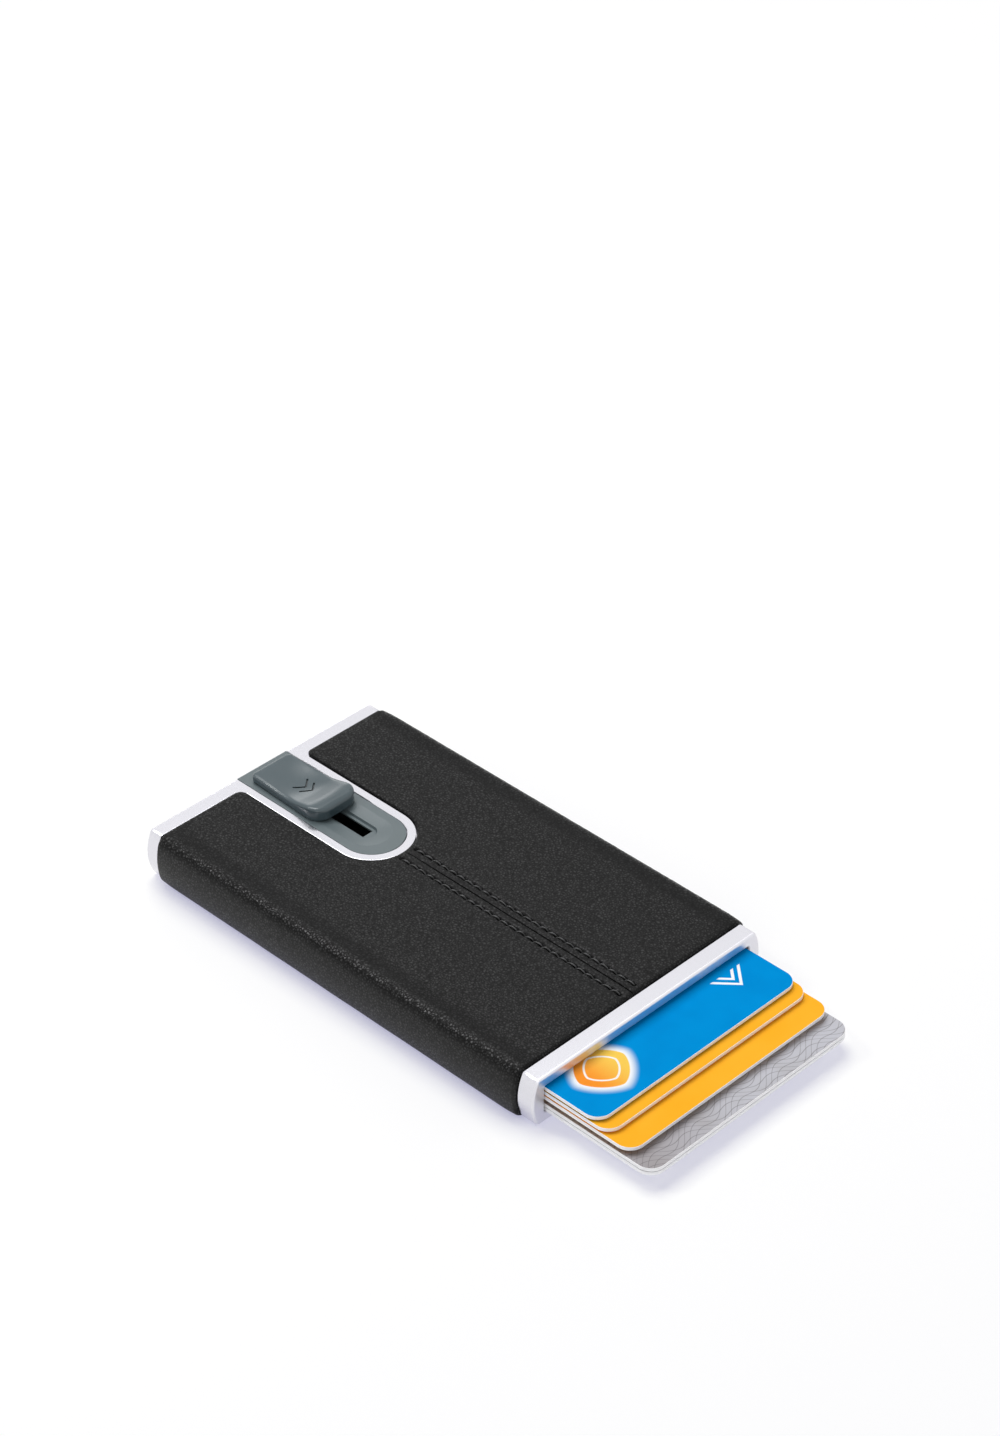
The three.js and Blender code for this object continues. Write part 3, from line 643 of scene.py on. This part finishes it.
def besideCutOut(x, y):  # how far a place on the top lies from the cut-out for the border
    ahead = holder["trackCentreY"] - y
    corner = leather["cornerRadius"]
    cornerX, cornerY = cutOut + corner, leather["rearY"] - corner
    if x < cornerX and y > cornerY:
        return corner - math.hypot(cornerX - x, y - cornerY)
    return (math.hypot(x, ahead) if ahead > 0 else x) - cutOut


def rollDrop(distance, radius):
    return radius - math.sqrt(radius ** 2 - (radius - min(max(distance, 0), radius)) ** 2)


def hump(distance, reach):  # 1 at no distance, falling smoothly to nothing
    return math.exp(-(distance / reach) ** 2)


def seamDrop(x, y):
    opened, shut = leather["seamShutsY"]
    share = min(max((shut - y) / (shut - opened), leather["seamShut"]), 1)
    return rollDrop((x - leather["seamHalf"]) / share, leather["seamRoll"]) * share


def sewnDrop(x, y):  # the groove under a row of stitches, and the needle's holes in it
    start, end = leather["rowStartY"], leather["rowEnd"]
    fromLast = y - start + leather["pitch"] * leather["stitches"]
    share = min(1, fromLast / end + 1, (start - y) / end + 1)
    if share <= 0:
        return 0
    aside, along = x - leather["rowX"], (start - y) / leather["pitch"]
    toHole = math.hypot(aside, (along - round(along)) * leather["pitch"])
    groove = leather["grooveDepth"] * hump(aside, leather["grooveReach"]) * share
    return groove + leather["holeDepth"] * hump(toHole, leather["holeReach"])


def leatherDrop(x, y, across):  # how far the surface lies under the full section
    closest = min(y - leather["frontY"], leather["rearY"] - y)
    drop = rollDrop(closest, leather["roll"])
    if across < leather["topHalf"]:
        beside = besideCutOut(x, y)
        closest = min(closest, beside)
        drop = max(drop, rollDrop(beside, leather["roll"]))
        if holder["trackCentreY"] - y > cutOut:
            drop = max(drop, seamDrop(x, y))
        drop += sewnDrop(x, y)
    drop += leather["padding"] * hump(closest, leather["paddingReach"])
    fromEdge = across - leatherFlat
    drop += leather["valleyDepth"] * hump(fromEdge + leather["valleyInside"], leather["valleyReach"])
    scaleX, scaleY = leather["crinkleScales"]
    crinkle = 0.5 + noise.noise(Vector((across * scaleX, y * scaleY, leather["crinkleSlice"])))
    drop += leather["crinkle"] * crinkle * hump(fromEdge - leather["crinkleOutside"], leather["crinkleReach"])
    wave = noise.noise(Vector((across, y, leather["waveSlice"])) * leather["waveScale"])
    drop += leather["waves"] * (0.5 + 0.5 * wave)
    return min(drop, leather["thickness"] - leather["thinnest"])


def sectionStations():  # places round the side and bottom, with their way out and distance from the seam
    middle, swell, centre, spread, edge = swollenSection(leather)
    radius = leather["radius"]
    stations, across = [], edge
    turns = [
        (edge, leather["high"] - radius, radius, math.pi / 2, spread, leather["cornerColumns"]),
        (centre, middle, swell, spread, -spread, leather["sideColumns"]),
        (edge, leather["low"] + radius, radius, -spread, -math.pi / 2, leather["cornerColumns"]),
    ]
    for x, z, reach, start, end, steps in turns:
        for angle in spacedBetween(start, end, steps):
            across += reach * abs(end - start) / steps
            outwards = Vector((math.cos(angle), 0, math.sin(angle)))
            stations.append((Vector((x, 0, z)) + outwards * reach, outwards, across))
    for x in spacedBetween(edge, 0, leather["bottomColumns"]):
        across += edge / leather["bottomColumns"]
        stations.append((Vector((x, 0, leather["low"])), Vector((0, 0, -1)), across))
    return stations


def leatherLayer(bm, rows, inner):
    stations = sectionStations()
    near = leather["edgeSteps"] + leather["sewnSteps"]
    far = spacedBetween(0, 1, leather["topColumns"])
    columns = len(near) + len(far) + len(stations)
    made = bmesh.ops.create_grid(bm, x_segments=columns - 1, y_segments=len(rows) - 1, size=1)["verts"]
    for vert in made:
        i = round((vert.co.x + 1) / 2 * (columns - 1))
        y = rows[round((vert.co.y + 1) / 2 * (len(rows) - 1))]
        if i < len(near) + len(far):
            start = innerEdge(y)
            reach = start + near[-1]
            x = start + near[i] if i < len(near) else reach + (leatherFlat - reach) * far[i - len(near)]
            place, outwards, across = Vector((x, 0, leather["high"])), Vector((0, 0, 1)), x
        else:
            place, outwards, across = stations[i - len(near) - len(far)]
        drop = leather["thickness"] if inner else leatherDrop(place.x, y, across)
        vert.co = place - outwards * drop
        vert.co.y = y


def leatherCover():
    bm = bmesh.new()
    rows = leatherRows()
    for inner in (False, True):
        leatherLayer(bm, rows, inner)
    half = bmesh.ops.duplicate(bm, geom=bm.verts[:] + bm.edges[:] + bm.faces[:])["geom"]
    stretch(bm, (-1, 1, 1), vertsIn(half))
    merge(bm, tiny, [v for v in bm.verts if abs(v.co.x) < tiny])
    bmesh.ops.bridge_loops(bm, edges=[e for e in bm.edges if e.is_boundary])
    finishPiece("leather_cover", bm, "case", "leather_wrap", "leather", 60.0)


leatherCover()


# stitches: short arches of twisted thread that dive into the leather at both ends

stitch = {
    "thread": 0.16, "spanShare": 0.92, "rise": 0.3, "dive": 0.2, "sides": 8, "steps": 9,
    "lift": -0.13, "liftVaries": (-0.05, 0.03), "slant": 11.0, "slantVaries": (-5, 5), "seed": 4,
}


def stitchRow(side, name, node):
    bm = bmesh.new()
    span = leather["pitch"] * stitch["spanShare"]
    sag = stitch["rise"] + stitch["dive"]
    arc = (span ** 2 / 4 + sag ** 2) / (2 * sag)
    lean = math.asin(span / 2 / arc)  # of the arch's ends
    chance = random.Random(stitch["seed"] + side)
    for i in range(leather["stitches"]):
        y = leather["rowStartY"] - leather["pitch"] * (i + 0.5)
        topZ = leather["high"] + stitch["lift"] + chance.uniform(*stitch["liftVaries"])
        slant = stitch["slant"] + chance.uniform(*stitch["slantVaries"])
        ring = bmesh.ops.create_circle(
            bm, cap_ends=True, segments=stitch["sides"], radius=stitch["thread"])["verts"]
        turn(bm, 90, "X", ring)
        move(bm, (0, 0, arc), ring)
        turn(bm, -math.degrees(lean), "X", ring)
        faces = list({f for v in ring for f in v.link_faces})
        before = set(bm.verts)
        bmesh.ops.spin(bm, geom=faces, cent=(0, 0, 0), axis=(1, 0, 0), angle=lean * 2, steps=stitch["steps"])
        verts = ring + [v for v in bm.verts if v not in before]
        turn(bm, slant, "Z", verts)
        move(bm, (side * leather["rowX"], y, topZ - arc), verts)
    finishPiece(name, bm, "case", node, "thread", 70.0)


stitchRow(-1, "thread_row_left", "stitch_row_left")
stitchRow(1, "thread_row_right", "stitch_row_right")


# cards: rounded sheets with a printed face, white cut edges, a chip and a stripe

cards = {
    "width": 53.98, "length": 85.6, "thickness": 0.76, "corner": 3.18, "cornerSteps": 12, "edge": (0.07, 3),
    "core": ((0.99, 0.99, 1.0, 1), (0.93, 0.93, 0.95, 1)), "layers": (1.2, 1.2, 10.8),
    "faceFrom": (0.4, 0.42), "levelFrom": 0.99, "clouds": 0.12, "cloudsFrom": (0.35, 0.75),
    # the chip lies on the face and the stripe on the back, at distances from the card's own front edge
    "chip": (0.0, 68.6), "chipHalf": (5.9, 5.1), "chipEdge": 0.12,
    "chipLines": (2.3, 1.7), "chipLine": (0.1, 0.16),
    "gold": (0.75, 0.55, 0.22, 1), "goldLine": (0.09, 0.07, 0.04, 1),
    "stripe": (72.0, 82.0), "stripeEdge": 0.1, "stripeColour": (0.018, 0.016, 0.015, 1),
    "roughness": 0.2, "scuffs": (0.5, 3.0, 1.0), "scuffRoughness": 0.1, "grain": 4.0, "grainDepth": 0.003,
}

# each card's slot in the record, and the light and the dark tone of its face
yellow = ("yellow_card", (1.0, 0.48, 0.03, 1), (1.0, 0.455, 0.022, 1))
cardKinds = {
    "card_blue": ("blue_card", (0.0, 0.28, 0.69, 1), (0.0, 0.255, 0.65, 1)),
    "card_yellow_upper": yellow,
    "card_yellow_lower": yellow,
    "card_silver": ("silver_card", (0.56, 0.56, 0.61, 1), (0.49, 0.485, 0.51, 1)),
    "card_white": ("white_card", (0.80, 0.80, 0.81, 1), (0.74, 0.74, 0.76, 1)),
}


def coreFinish(places):
    return {"Base Color": mixColour(noiseAt(places, cards["layers"], 2.0), *cards["core"]), "Roughness": 0.42}


def markBlue(x, y, colour):  # a haloed lozenge at the front left corner, and two small arrows at the right
    mark = {
        "x": -16.33, "y": 9.25, "size": 5.8, "halo": 7.9, "roundness": 1.5, "edge": 0.25, "haloInside": 0.2,
        "haloColour": (0.93, 0.95, 0.97, 1), "left": (0.95, 0.30, 0.03, 1), "right": (0.95, 0.62, 0.10, 1),
        "turnsOver": 4.5, "ringShare": 0.62, "ringWidth": (0.3, 0.12), "ringColour": (0.95, 0.93, 0.88, 1),
    }
    arrow = {
        "x": 18.6, "y": 11.0, "reaches": (1.4, 3.2), "width": 0.9, "edge": 0.15, "slope": 0.9,
        "tip": (-0.1, 0.0), "colour": (0.92, 0.95, 0.97, 1),
    }
    across, along, size = abs(x - mark["x"]), abs(y - mark["y"]), mark["size"]
    reach = (across ** mark["roundness"] + along ** mark["roundness"]) ** (1 / mark["roundness"])
    colour = mixColour(fade(reach, mark["halo"], size - mark["haloInside"]), colour, mark["haloColour"])
    share = fade(x, mark["x"] - mark["turnsOver"], mark["x"] + mark["turnsOver"])
    warm = mixColour(share, mark["left"], mark["right"])
    colour = mixColour(fade(reach, size, size - mark["edge"]), colour, warm)
    ring = fade(abs(reach - size * mark["ringShare"]), *mark["ringWidth"])
    colour = mixColour(ring, colour, mark["ringColour"])
    aside, ahead = abs(x - arrow["x"]), arrow["y"] - y
    level = aside + ahead * arrow["slope"]
    for start in arrow["reaches"]:
        shown = band(level, start, start + arrow["width"], arrow["edge"]) * fade(ahead, *arrow["tip"])
        colour = mixColour(shown, colour, arrow["colour"])
    return colour


def netLines(x, y, colour):  # a fine net of waved lines, on a face that darkens towards one corner
    net = {
        "pitch": 1.5, "swing": 1.1, "period": 11.0, "phase": 0.12, "tilt": 0.42, "line": 0.07, "fine": 0.4,
        "lineColour": (0.13, 0.12, 0.12, 1), "lineShare": 0.5,
        "shade": (0.31, 0.275, 0.275, 1), "paintedShadeShare": 0.65, "paintedShadeSlope": 0.9, "paintedShadeFrom": (2.0, -32.0),
    }
    # painted shade: the face is painted darker towards one corner, by the shade colour
    paintedShade = fade(x - y * net["paintedShadeSlope"], *net["paintedShadeFrom"]) * net["paintedShadeShare"]
    colour = mixColour(paintedShade, colour, net["shade"])
    for tilt in (-1, 1):
        angle = x * (2 * math.pi / net["period"]) + y * net["phase"] * tilt
        level = (y + x * net["tilt"] * tilt + angle.math("SINE", angle) * net["swing"]) / net["pitch"]
        toLine = level.math("PINGPONG", level, 0.5)
        line = fade(toLine, net["line"], net["line"] * net["fine"]) * net["lineShare"]
        colour = mixColour(line, colour, net["lineColour"])
    return colour


def printFinish(places, name, light, dark):
    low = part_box(name)[0] / mm
    x = axisOf(places, "X")
    y = axisOf(places, "Y") - low.y
    face = fade(axisOf(places, "Z") - low.z, *cards["faceFrom"])
    colour = mixColour(fade(noiseAt(places, cards["clouds"], 2.0), *cards["cloudsFrom"]), light, dark)
    if name == "card_blue":
        colour = markBlue(x, y, colour)
    if name == "card_silver":
        colour = netLines(x, y, colour)
    chip, gold = face, 1
    for place, centre, half, line in zip((x, y), cards["chip"], cards["chipHalf"], cards["chipLines"]):
        chip = chip * band(place, centre - half, centre + half, cards["chipEdge"])
        gold = fade(abs(abs(place - centre) - line), *cards["chipLine"]) * gold
    colour = mixColour(chip, colour, mixColour(gold, cards["goldLine"], cards["gold"]))
    stripe = band(y, *cards["stripe"], cards["stripeEdge"]) * (1 - face)
    scuffs = noiseAt(places, cards["scuffs"], 4.0)
    return {
        "Base Color": mixColour(stripe, colour, cards["stripeColour"]),
        "Metallic": chip * gold,
        "Roughness": cards["roughness"] + scuffs * cards["scuffRoughness"],
        "Specular IOR Level": 0.01,
        "Normal": bump(noiseAt(places, cards["grain"], 2.0), cards["grainDepth"]),
    }


def cardPiece(name, slot, light, dark):
    low, high = (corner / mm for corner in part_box(name))
    bm = flatFace(cards["width"] / 2, cards["length"] / 2)
    bevel(bm, bm.verts[:], cards["corner"], cards["cornerSteps"], "VERTICES")
    move(bm, ((low.x + high.x) / 2, (low.y + high.y) / 2, low.z))
    extend(bm, bm.faces[:], (0, 0, cards["thickness"]))
    bevel(bm, edgesAt(bm, 2, low.z) + edgesAt(bm, 2, high.z), *cards["edge"])
    bm.normal_update()
    for face in bm.faces:
        face.material_index = 0 if abs(face.normal.z) > cards["levelFrom"] else 1
    looks = [newMaterial(name + "_print", printFinish, name, light, dark), cardCore]
    finishPiece(name + "_sheet", bm, name + "_body", name, slot, 50.0, looks)


cardCore = newMaterial("white_card_core", coreFinish)
for cardName, kind in cardKinds.items():
    cardPiece(cardName, *kind)


# thumb pad: a side view with a hollow and a raised lip, trimmed to its plan, and its stem

pad = {
    "frontY": 29.6, "length": 20.0, "baseZ": 11.28, "frontHalf": 5.85, "rearHalf": 5.1,
    "frontRadius": 3.4, "rearRadius": 1.1, "cornerSteps": 12,
    "planBelow": 1.0, "planHeight": 6.0, "sideMargin": 1.0,
    # height above the base at shares of the length, from the front
    "profile": [(0.0, 2.2), (0.05, 2.56), (0.11, 2.67), (0.17, 2.6), (0.25, 2.24), (0.35, 1.76), (0.46, 1.5),
                (0.60, 1.47), (0.75, 1.6), (0.9, 1.67), (1.0, 1.67)],
    "profileSteps": 5,
    "edge": (0.64, 6), "edgeAbove": 0.6, "edgeAngle": 40.0, "uprightUnder": 0.2, "footEdge": (0.14, 3),
    # the thumb's hollow: depth, half width, and the middle and half of its length as shares
    "hollow": 0.34, "hollowHalf": 4.6, "hollowMiddle": 0.52, "hollowReach": 0.42,
    "hollowAbove": 0.9, "hollowCuts": 6, "hollowPitch": 0.75,
    "chevronY": (38.3, 40.2), "chevronHalf": 1.9, "chevronWidth": 0.4, "chevronDepth": 0.28,
    "chevronTurn": 40.0, "chevronLength": 1.3, "chevronCuts": 5, "chevronMargin": 0.6, "engravedFrom": 0.2,
    "stem": ((-1.05, 35.3, 8.75), (1.05, 42.0, 12.2)),
}


def smoothHeights(points, steps):  # through every point, as steep there as the line between its neighbours
    run = []
    for i, (low, high) in enumerate(zip(points, points[1:])):
        before, after = points[max(i - 1, 0)], points[min(i + 2, len(points) - 1)]
        width, rise = high[0] - low[0], high[1] - low[1]
        slopeLow = (high[1] - before[1]) / (high[0] - before[0]) * width
        slopeHigh = (after[1] - low[1]) / (after[0] - low[0]) * width
        for t in (step / steps for step in range(steps)):
            curve = 3 * rise - 2 * slopeLow - slopeHigh + (slopeLow + slopeHigh - 2 * rise) * t
            run.append((low[0] + width * t, low[1] + (slopeLow + curve * t) * t))
    return run + [points[-1]]


padRun = smoothHeights(pad["profile"], pad["profileSteps"])
padRearY = pad["frontY"] + pad["length"]


def hollowAt(x, y):  # how far the pad's top is hollowed for the thumb
    along = (y - pad["frontY"]) / pad["length"]
    shareX = max(0, 1 - (x / pad["hollowHalf"]) ** 2)
    shareY = max(0, 1 - ((along - pad["hollowMiddle"]) / pad["hollowReach"]) ** 2)
    return pad["hollow"] * shareX * shareY


def padTop(x, y):
    along = (y - pad["frontY"]) / pad["length"]
    (start, low), (end, high) = next((a, b) for a, b in zip(padRun, padRun[1:]) if a[0] <= along <= b[0])
    return pad["baseZ"] + low + (high - low) * (along - start) / (end - start) - hollowAt(x, y)


def chevronArm(side, y):  # one slanted bar of an arrow that points to the front, as deep all along
    half, width = pad["chevronHalf"], pad["chevronWidth"]
    bm = block((-width / 2, -width / 2, 0), (half * pad["chevronLength"], width / 2, pad["baseZ"] + overrun))
    lengthwise = [e for e in bm.edges if abs(e.verts[0].co.x - e.verts[1].co.x) > width]
    bmesh.ops.subdivide_edges(bm, edges=lengthwise, cuts=pad["chevronCuts"])
    turn(bm, pad["chevronTurn"], "Z")
    stretch(bm, (side, 1, 1))
    move(bm, (side * width / 4, y - half / 2, 0))
    for vert in bm.verts:
        if vert.co.z < pad["baseZ"]:
            vert.co.z = padTop(vert.co.x, vert.co.y) - pad["chevronDepth"]
    return bm


def padSide():  # the side view, as wide as the plan and more
    bm = bmesh.new()
    half, base = pad["frontHalf"] + pad["sideMargin"], pad["baseZ"]
    front, rear = (0, pad["frontY"], base), (0, padRearY, base)
    top = [(0, pad["frontY"] + pad["length"] * share, base + height) for share, height in padRun]
    face = traceOutline(bm, front, [*top, rear, front])
    move(bm, (-half, 0, 0))
    extend(bm, face, (half * 2, 0, 0))
    return bm


def padPlan():
    bm = flatFace(1, 1)
    for vert in bm.verts:
        half, y = (pad["frontHalf"], pad["frontY"]) if vert.co.y < 0 else (pad["rearHalf"], padRearY)
        vert.co = (vert.co.x * half, y, 0)
    for y, radius in ((pad["frontY"], pad["frontRadius"]), (padRearY, pad["rearRadius"])):
        corners = [v for v in bm.verts if abs(v.co.y - y) < touching]
        bevel(bm, corners, radius, pad["cornerSteps"], "VERTICES")
    move(bm, (0, 0, pad["baseZ"] - pad["planBelow"]))
    extend(bm, bm.faces[:], (0, 0, pad["planHeight"]))
    return bm


def isPadRim(edge):  # an edge round the pad's top, but not an upright one at its corners
    return (all(v.co.z > pad["baseZ"] + pad["edgeAbove"] for v in edge.verts)
            and edge.calc_face_angle(0) > math.radians(pad["edgeAngle"])
            and not all(abs(f.normal.z) < pad["uprightUnder"] for f in edge.link_faces))


# the second material is a darker copy of the pad's plastic: painted shade in the engraving
def markEngraving(body):  # the chevrons' walls and floors get the second material
    margin, deep = pad["chevronMargin"], pad["chevronDepth"] * pad["engravedFrom"]
    frontY, backY = min(pad["chevronY"]) - pad["chevronHalf"] - margin, max(pad["chevronY"]) + margin
    for face in body.faces:
        x, y, z = face.calc_center_median()
        near = frontY < y < backY and abs(x) < pad["chevronHalf"] + margin and z > pad["baseZ"] + margin
        face.material_index = int(near and z < padTop(x, y) - deep)


def thumbPad():
    body = combine(padSide(), shared=[padPlan()])
    bevel(body, edgesAt(body, 2, pad["baseZ"]), *pad["footEdge"])
    body.normal_update()
    bevel(body, [e for e in body.edges if isPadRim(e)], *pad["edge"])
    for i in range(-pad["hollowCuts"], pad["hollowCuts"] + 1):
        whole, place = body.verts[:] + body.edges[:] + body.faces[:], (i * pad["hollowPitch"], 0, 0)
        bmesh.ops.bisect_plane(body, geom=whole, plane_co=place, plane_no=(1, 0, 0), dist=tiny)
    for vert in body.verts:
        if vert.co.z > pad["baseZ"] + pad["hollowAbove"]:
            vert.co.z -= hollowAt(vert.co.x, vert.co.y)
    arms = [chevronArm(side, y) for y in pad["chevronY"] for side in (-1, 1)]
    body = combine(body, [block(*pad["stem"])], arms)
    markEngraving(body)
    looks = [materials["grey_plastic"], materials["grey_plastic_engraving_painted_shade"]]
    finishPiece("thumb_piece", body, "slider", "thumb_pad", "grey_plastic", 40.0, looks)


thumbPad()


# track plate: a shallow dish, a stepped groove in it, and the slot through the groove's floor

track = {
    "halfWidth": 6.5, "low": 9.9, "high": 11.15, "topEdge": (0.1, 2), "otherEdges": (0.07, 2),
    "slot": ((-1.3, 21.8, 9.0), (1.3, 42.3, 12.0)), "steps": 64,
    "dishDepth": 0.5, "dishRadius": 25.0, "dishReach": 1.2, "dishSteps": 12,
    "grooveHalf": 1.9, "grooveTop": 2.25, "grooveFloor": 10.22, "grooveInset": 0.35,
}


def stretchedRound(bm, frontY, rearY):  # moves the rear half of a round form back, so it becomes long
    move(bm, (0, rearY - frontY, 0), [v for v in bm.verts if v.co.y > frontY])


def dishSolid(frontY, rearY):
    bm = bmesh.new()
    floorZ = track["high"] - track["dishDepth"]
    radius, centreZ = track["dishRadius"], floorZ + track["dishRadius"]
    angle = math.acos(1 - track["dishDepth"] * track["dishReach"] / radius)
    rimX, topZ = radius * math.sin(angle), centreZ - radius * math.cos(angle) + overrun
    profile = traceOutline(bm, (0, frontY, floorZ), [
        ((0, frontY, centreZ), (0, -1, 0), angle, track["dishSteps"]),
        (rimX, frontY, topZ), (0, frontY, topZ), (0, frontY, floorZ),
    ])
    centre, steps = (0, frontY, 0), track["steps"]
    bmesh.ops.rotate(bm, cent=centre, matrix=Matrix.Rotation(math.pi / steps, 3, "Z"), verts=bm.verts)
    bmesh.ops.spin(
        bm, geom=profile, cent=centre, axis=(0, 0, 1), angle=math.pi * 2, steps=steps, use_merge=True)
    merge(bm, tiny)
    walls = [f for f in bm.faces if all(len(e.link_faces) > 2 for e in f.edges)]
    bmesh.ops.delete(bm, geom=walls, context="FACES")
    stretchedRound(bm, frontY + tiny, rearY)
    return bm


def grooveSolid(frontY, rearY):
    steps, centreY = track["steps"], frontY + track["grooveInset"]
    bm = roundBar(0, 0, track["grooveHalf"], track["grooveFloor"], track["high"], track["grooveTop"], steps)
    turn(bm, 180 / steps, "Z")
    move(bm, (0, centreY, 0))
    stretchedRound(bm, centreY, rearY)
    return bm


def trackPlate():
    frontY, rearY = (corner[1] for corner in track["slot"])
    plate, top = trackForm(track["halfWidth"], holder["rearY"], track["low"], track["high"])
    bevel(plate, list(top[0].edges), *track["topEdge"])
    cuts = [dishSolid(frontY, rearY), grooveSolid(frontY, rearY), block(*track["slot"])]
    body = combine(plate, cut=cuts)
    looks = [materials["grey_plastic_plate"]]
    finishPiece(
        "track_plate", body, "case", "track_insert", "grey_plastic", 30.0, looks, track["otherEdges"])


trackPlate()


# small parts that keep the CAD's shape with softened edges: name, body, sharp angle, edge

softened = {
    "rear_plug": ("rear_bar", "case", 28.0, (0.25, 3)),
    "pusher_shoe": ("pusher_plate", "slider", 40.0, (0.12, 2)),
    "stepped_lever": ("step_lever", "lever", 40.0, (0.12, 2)),
}
for node, (name, body, angle, edge) in softened.items():
    finishPiece(name, nodeMesh(node), body, node, "black_plastic", angle, edge=edge)

# the spring: its low leg lies in the lever, and its high one in the rear bar; it rides no body, and its place
# is baked into its mesh
spring = finishPiece("wound_spring", nodeMesh("return_spring"), None, "return_spring", "steel", 50.0)
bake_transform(spring)

plainNodes = {
    "steel": ["plug_screw_left", "plug_screw_right", "pivot_rivet", "drive_pin", "pad_screw"],
    "felt": ["felt_strip_left", "felt_strip_right"],
}
for look, nodes in plainNodes.items():
    for node in nodes:
        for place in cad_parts[node].material_slots:
            place.material = materials[look]
print("small parts are finished")


# floor, light and camera, in metres and watts

studio = {
    "floorSize": 6.0, "floorShade": (0.62, 0.62, 0.47, 1), "floorFill": (0.375, 0.375, 0.53, 1),
    "floorBounce": (0.86, 0.86, 0.88, 1), "floorGlow": 0.2, "floorFades": (0.22, 0.5), "worldLight": 0.34,
    # name: place, size, power; all point at the origin
    "lamps": {
        "overhead": ((0.15, 0.42, 1.1), 0.85, 8.9),
        "rear_right": ((0.66, 0.84, 0.34), 0.3, 0.4),
        "front_fill": ((-0.8, -0.75, 0.5), 0.7, 1.2),
        "rear_left": ((-0.43, 0.6, 0.76), 0.2, 1.5),
        "spark": ((0.1, -0.66, 0.98), 0.06, 0.7),
    },
    "camera": (-0.371405, -0.379762, 0.433789), "azimuth": -45.436, "elevation": 35.928, "clip": (0.01, 20.0),
    # focal length and frame's height in pixels, and sensor in millimetres
    "focalPixels": 3587.06, "framePixels": 1436, "sensor": 36.0,
}


def aimAlong(made, direction):
    made.rotation_mode = "QUATERNION"
    made.rotation_quaternion = direction.to_track_quat("-Z", "Y")


def seenBackground(tree):  # 1 for what the camera, a reflection or a clear piece shows
    path = tree.nodes.new("ShaderNodeLightPath")
    direct, glossy, clear = (
        Wire(tree, path.outputs[name]) for name in ("Is Camera Ray", "Is Glossy Ray", "Is Transmission Ray"))
    return direct.math("MAXIMUM", direct, direct.math("MAXIMUM", glossy, clear))


def litShade(wire, colour, glow, strength=1.0):  # what the lamps light, and a glow of its own
    shade = wire.node("BsdfDiffuse", {}, {"Color": colour})
    light = wire.node("Emission", {}, {"Color": glow, "Strength": strength})
    return wire.node("AddShader", {}, {0: shade, 1: light})


def floorMaterial():  # plain white with the object's shadow where rays see it, and dimmer as a light
    material, tree, places = startMaterial("white_table")
    tree.nodes.remove(tree.nodes["Principled BSDF"])
    seen = seenBackground(tree)
    away = places.node("VectorMath", {"operation": "LENGTH"}, {0: places}, 1)
    shown = litShade(seen, studio["floorShade"], studio["floorFill"])
    white = seen.node("Emission", {}, {"Color": (1, 1, 1, 1)})
    shown = seen.node("MixShader", {}, {0: fade(away, *studio["floorFades"]), 1: shown, 2: white})
    unseen = litShade(seen, studio["floorBounce"], studio["floorBounce"], studio["floorGlow"])
    result = seen.node("MixShader", {}, {0: seen, 1: unseen, 2: shown})
    setInputs(tree.nodes["Material Output"], {"Surface": result})
    return material


def floor():
    made = meshObject("floor", flatFace(studio["floorSize"] / 2, studio["floorSize"] / 2))
    made.data.materials.append(floorMaterial())


def worldLight():
    world = bpy.data.worlds.new("studio")
    bpy.context.scene.world = world
    world.use_nodes = True
    strength = studio["worldLight"] + seenBackground(world.node_tree) * (1 - studio["worldLight"])
    setInputs(world.node_tree.nodes["Background"], {"Color": (1, 1, 1, 1), "Strength": strength})


def lamps():
    for name, (place, size, power) in studio["lamps"].items():
        data = bpy.data.lights.new(name, "AREA")
        data.shape, data.size, data.energy = "DISK", size, power
        lamp = addObject(name, data)
        lamp.location = place
        aimAlong(lamp, -Vector(place))


def camera():
    data = bpy.data.cameras.new("camera")
    data.sensor_fit, data.sensor_width = "AUTO", studio["sensor"]
    data.lens = studio["focalPixels"] / studio["framePixels"] * studio["sensor"]
    data.clip_start, data.clip_end = studio["clip"]
    made = addObject("camera", data)
    azimuth, elevation = math.radians(studio["azimuth"]), math.radians(studio["elevation"])
    level = math.cos(elevation)
    made.location = studio["camera"]
    aimAlong(made, Vector((-math.sin(azimuth) * level, math.cos(azimuth) * level, -math.sin(elevation))))
    bpy.context.scene.camera = made


floor()
worldLight()
lamps()
camera()
bpy.context.scene.view_settings.view_transform = "Standard"
print("floor, light and camera are in place")
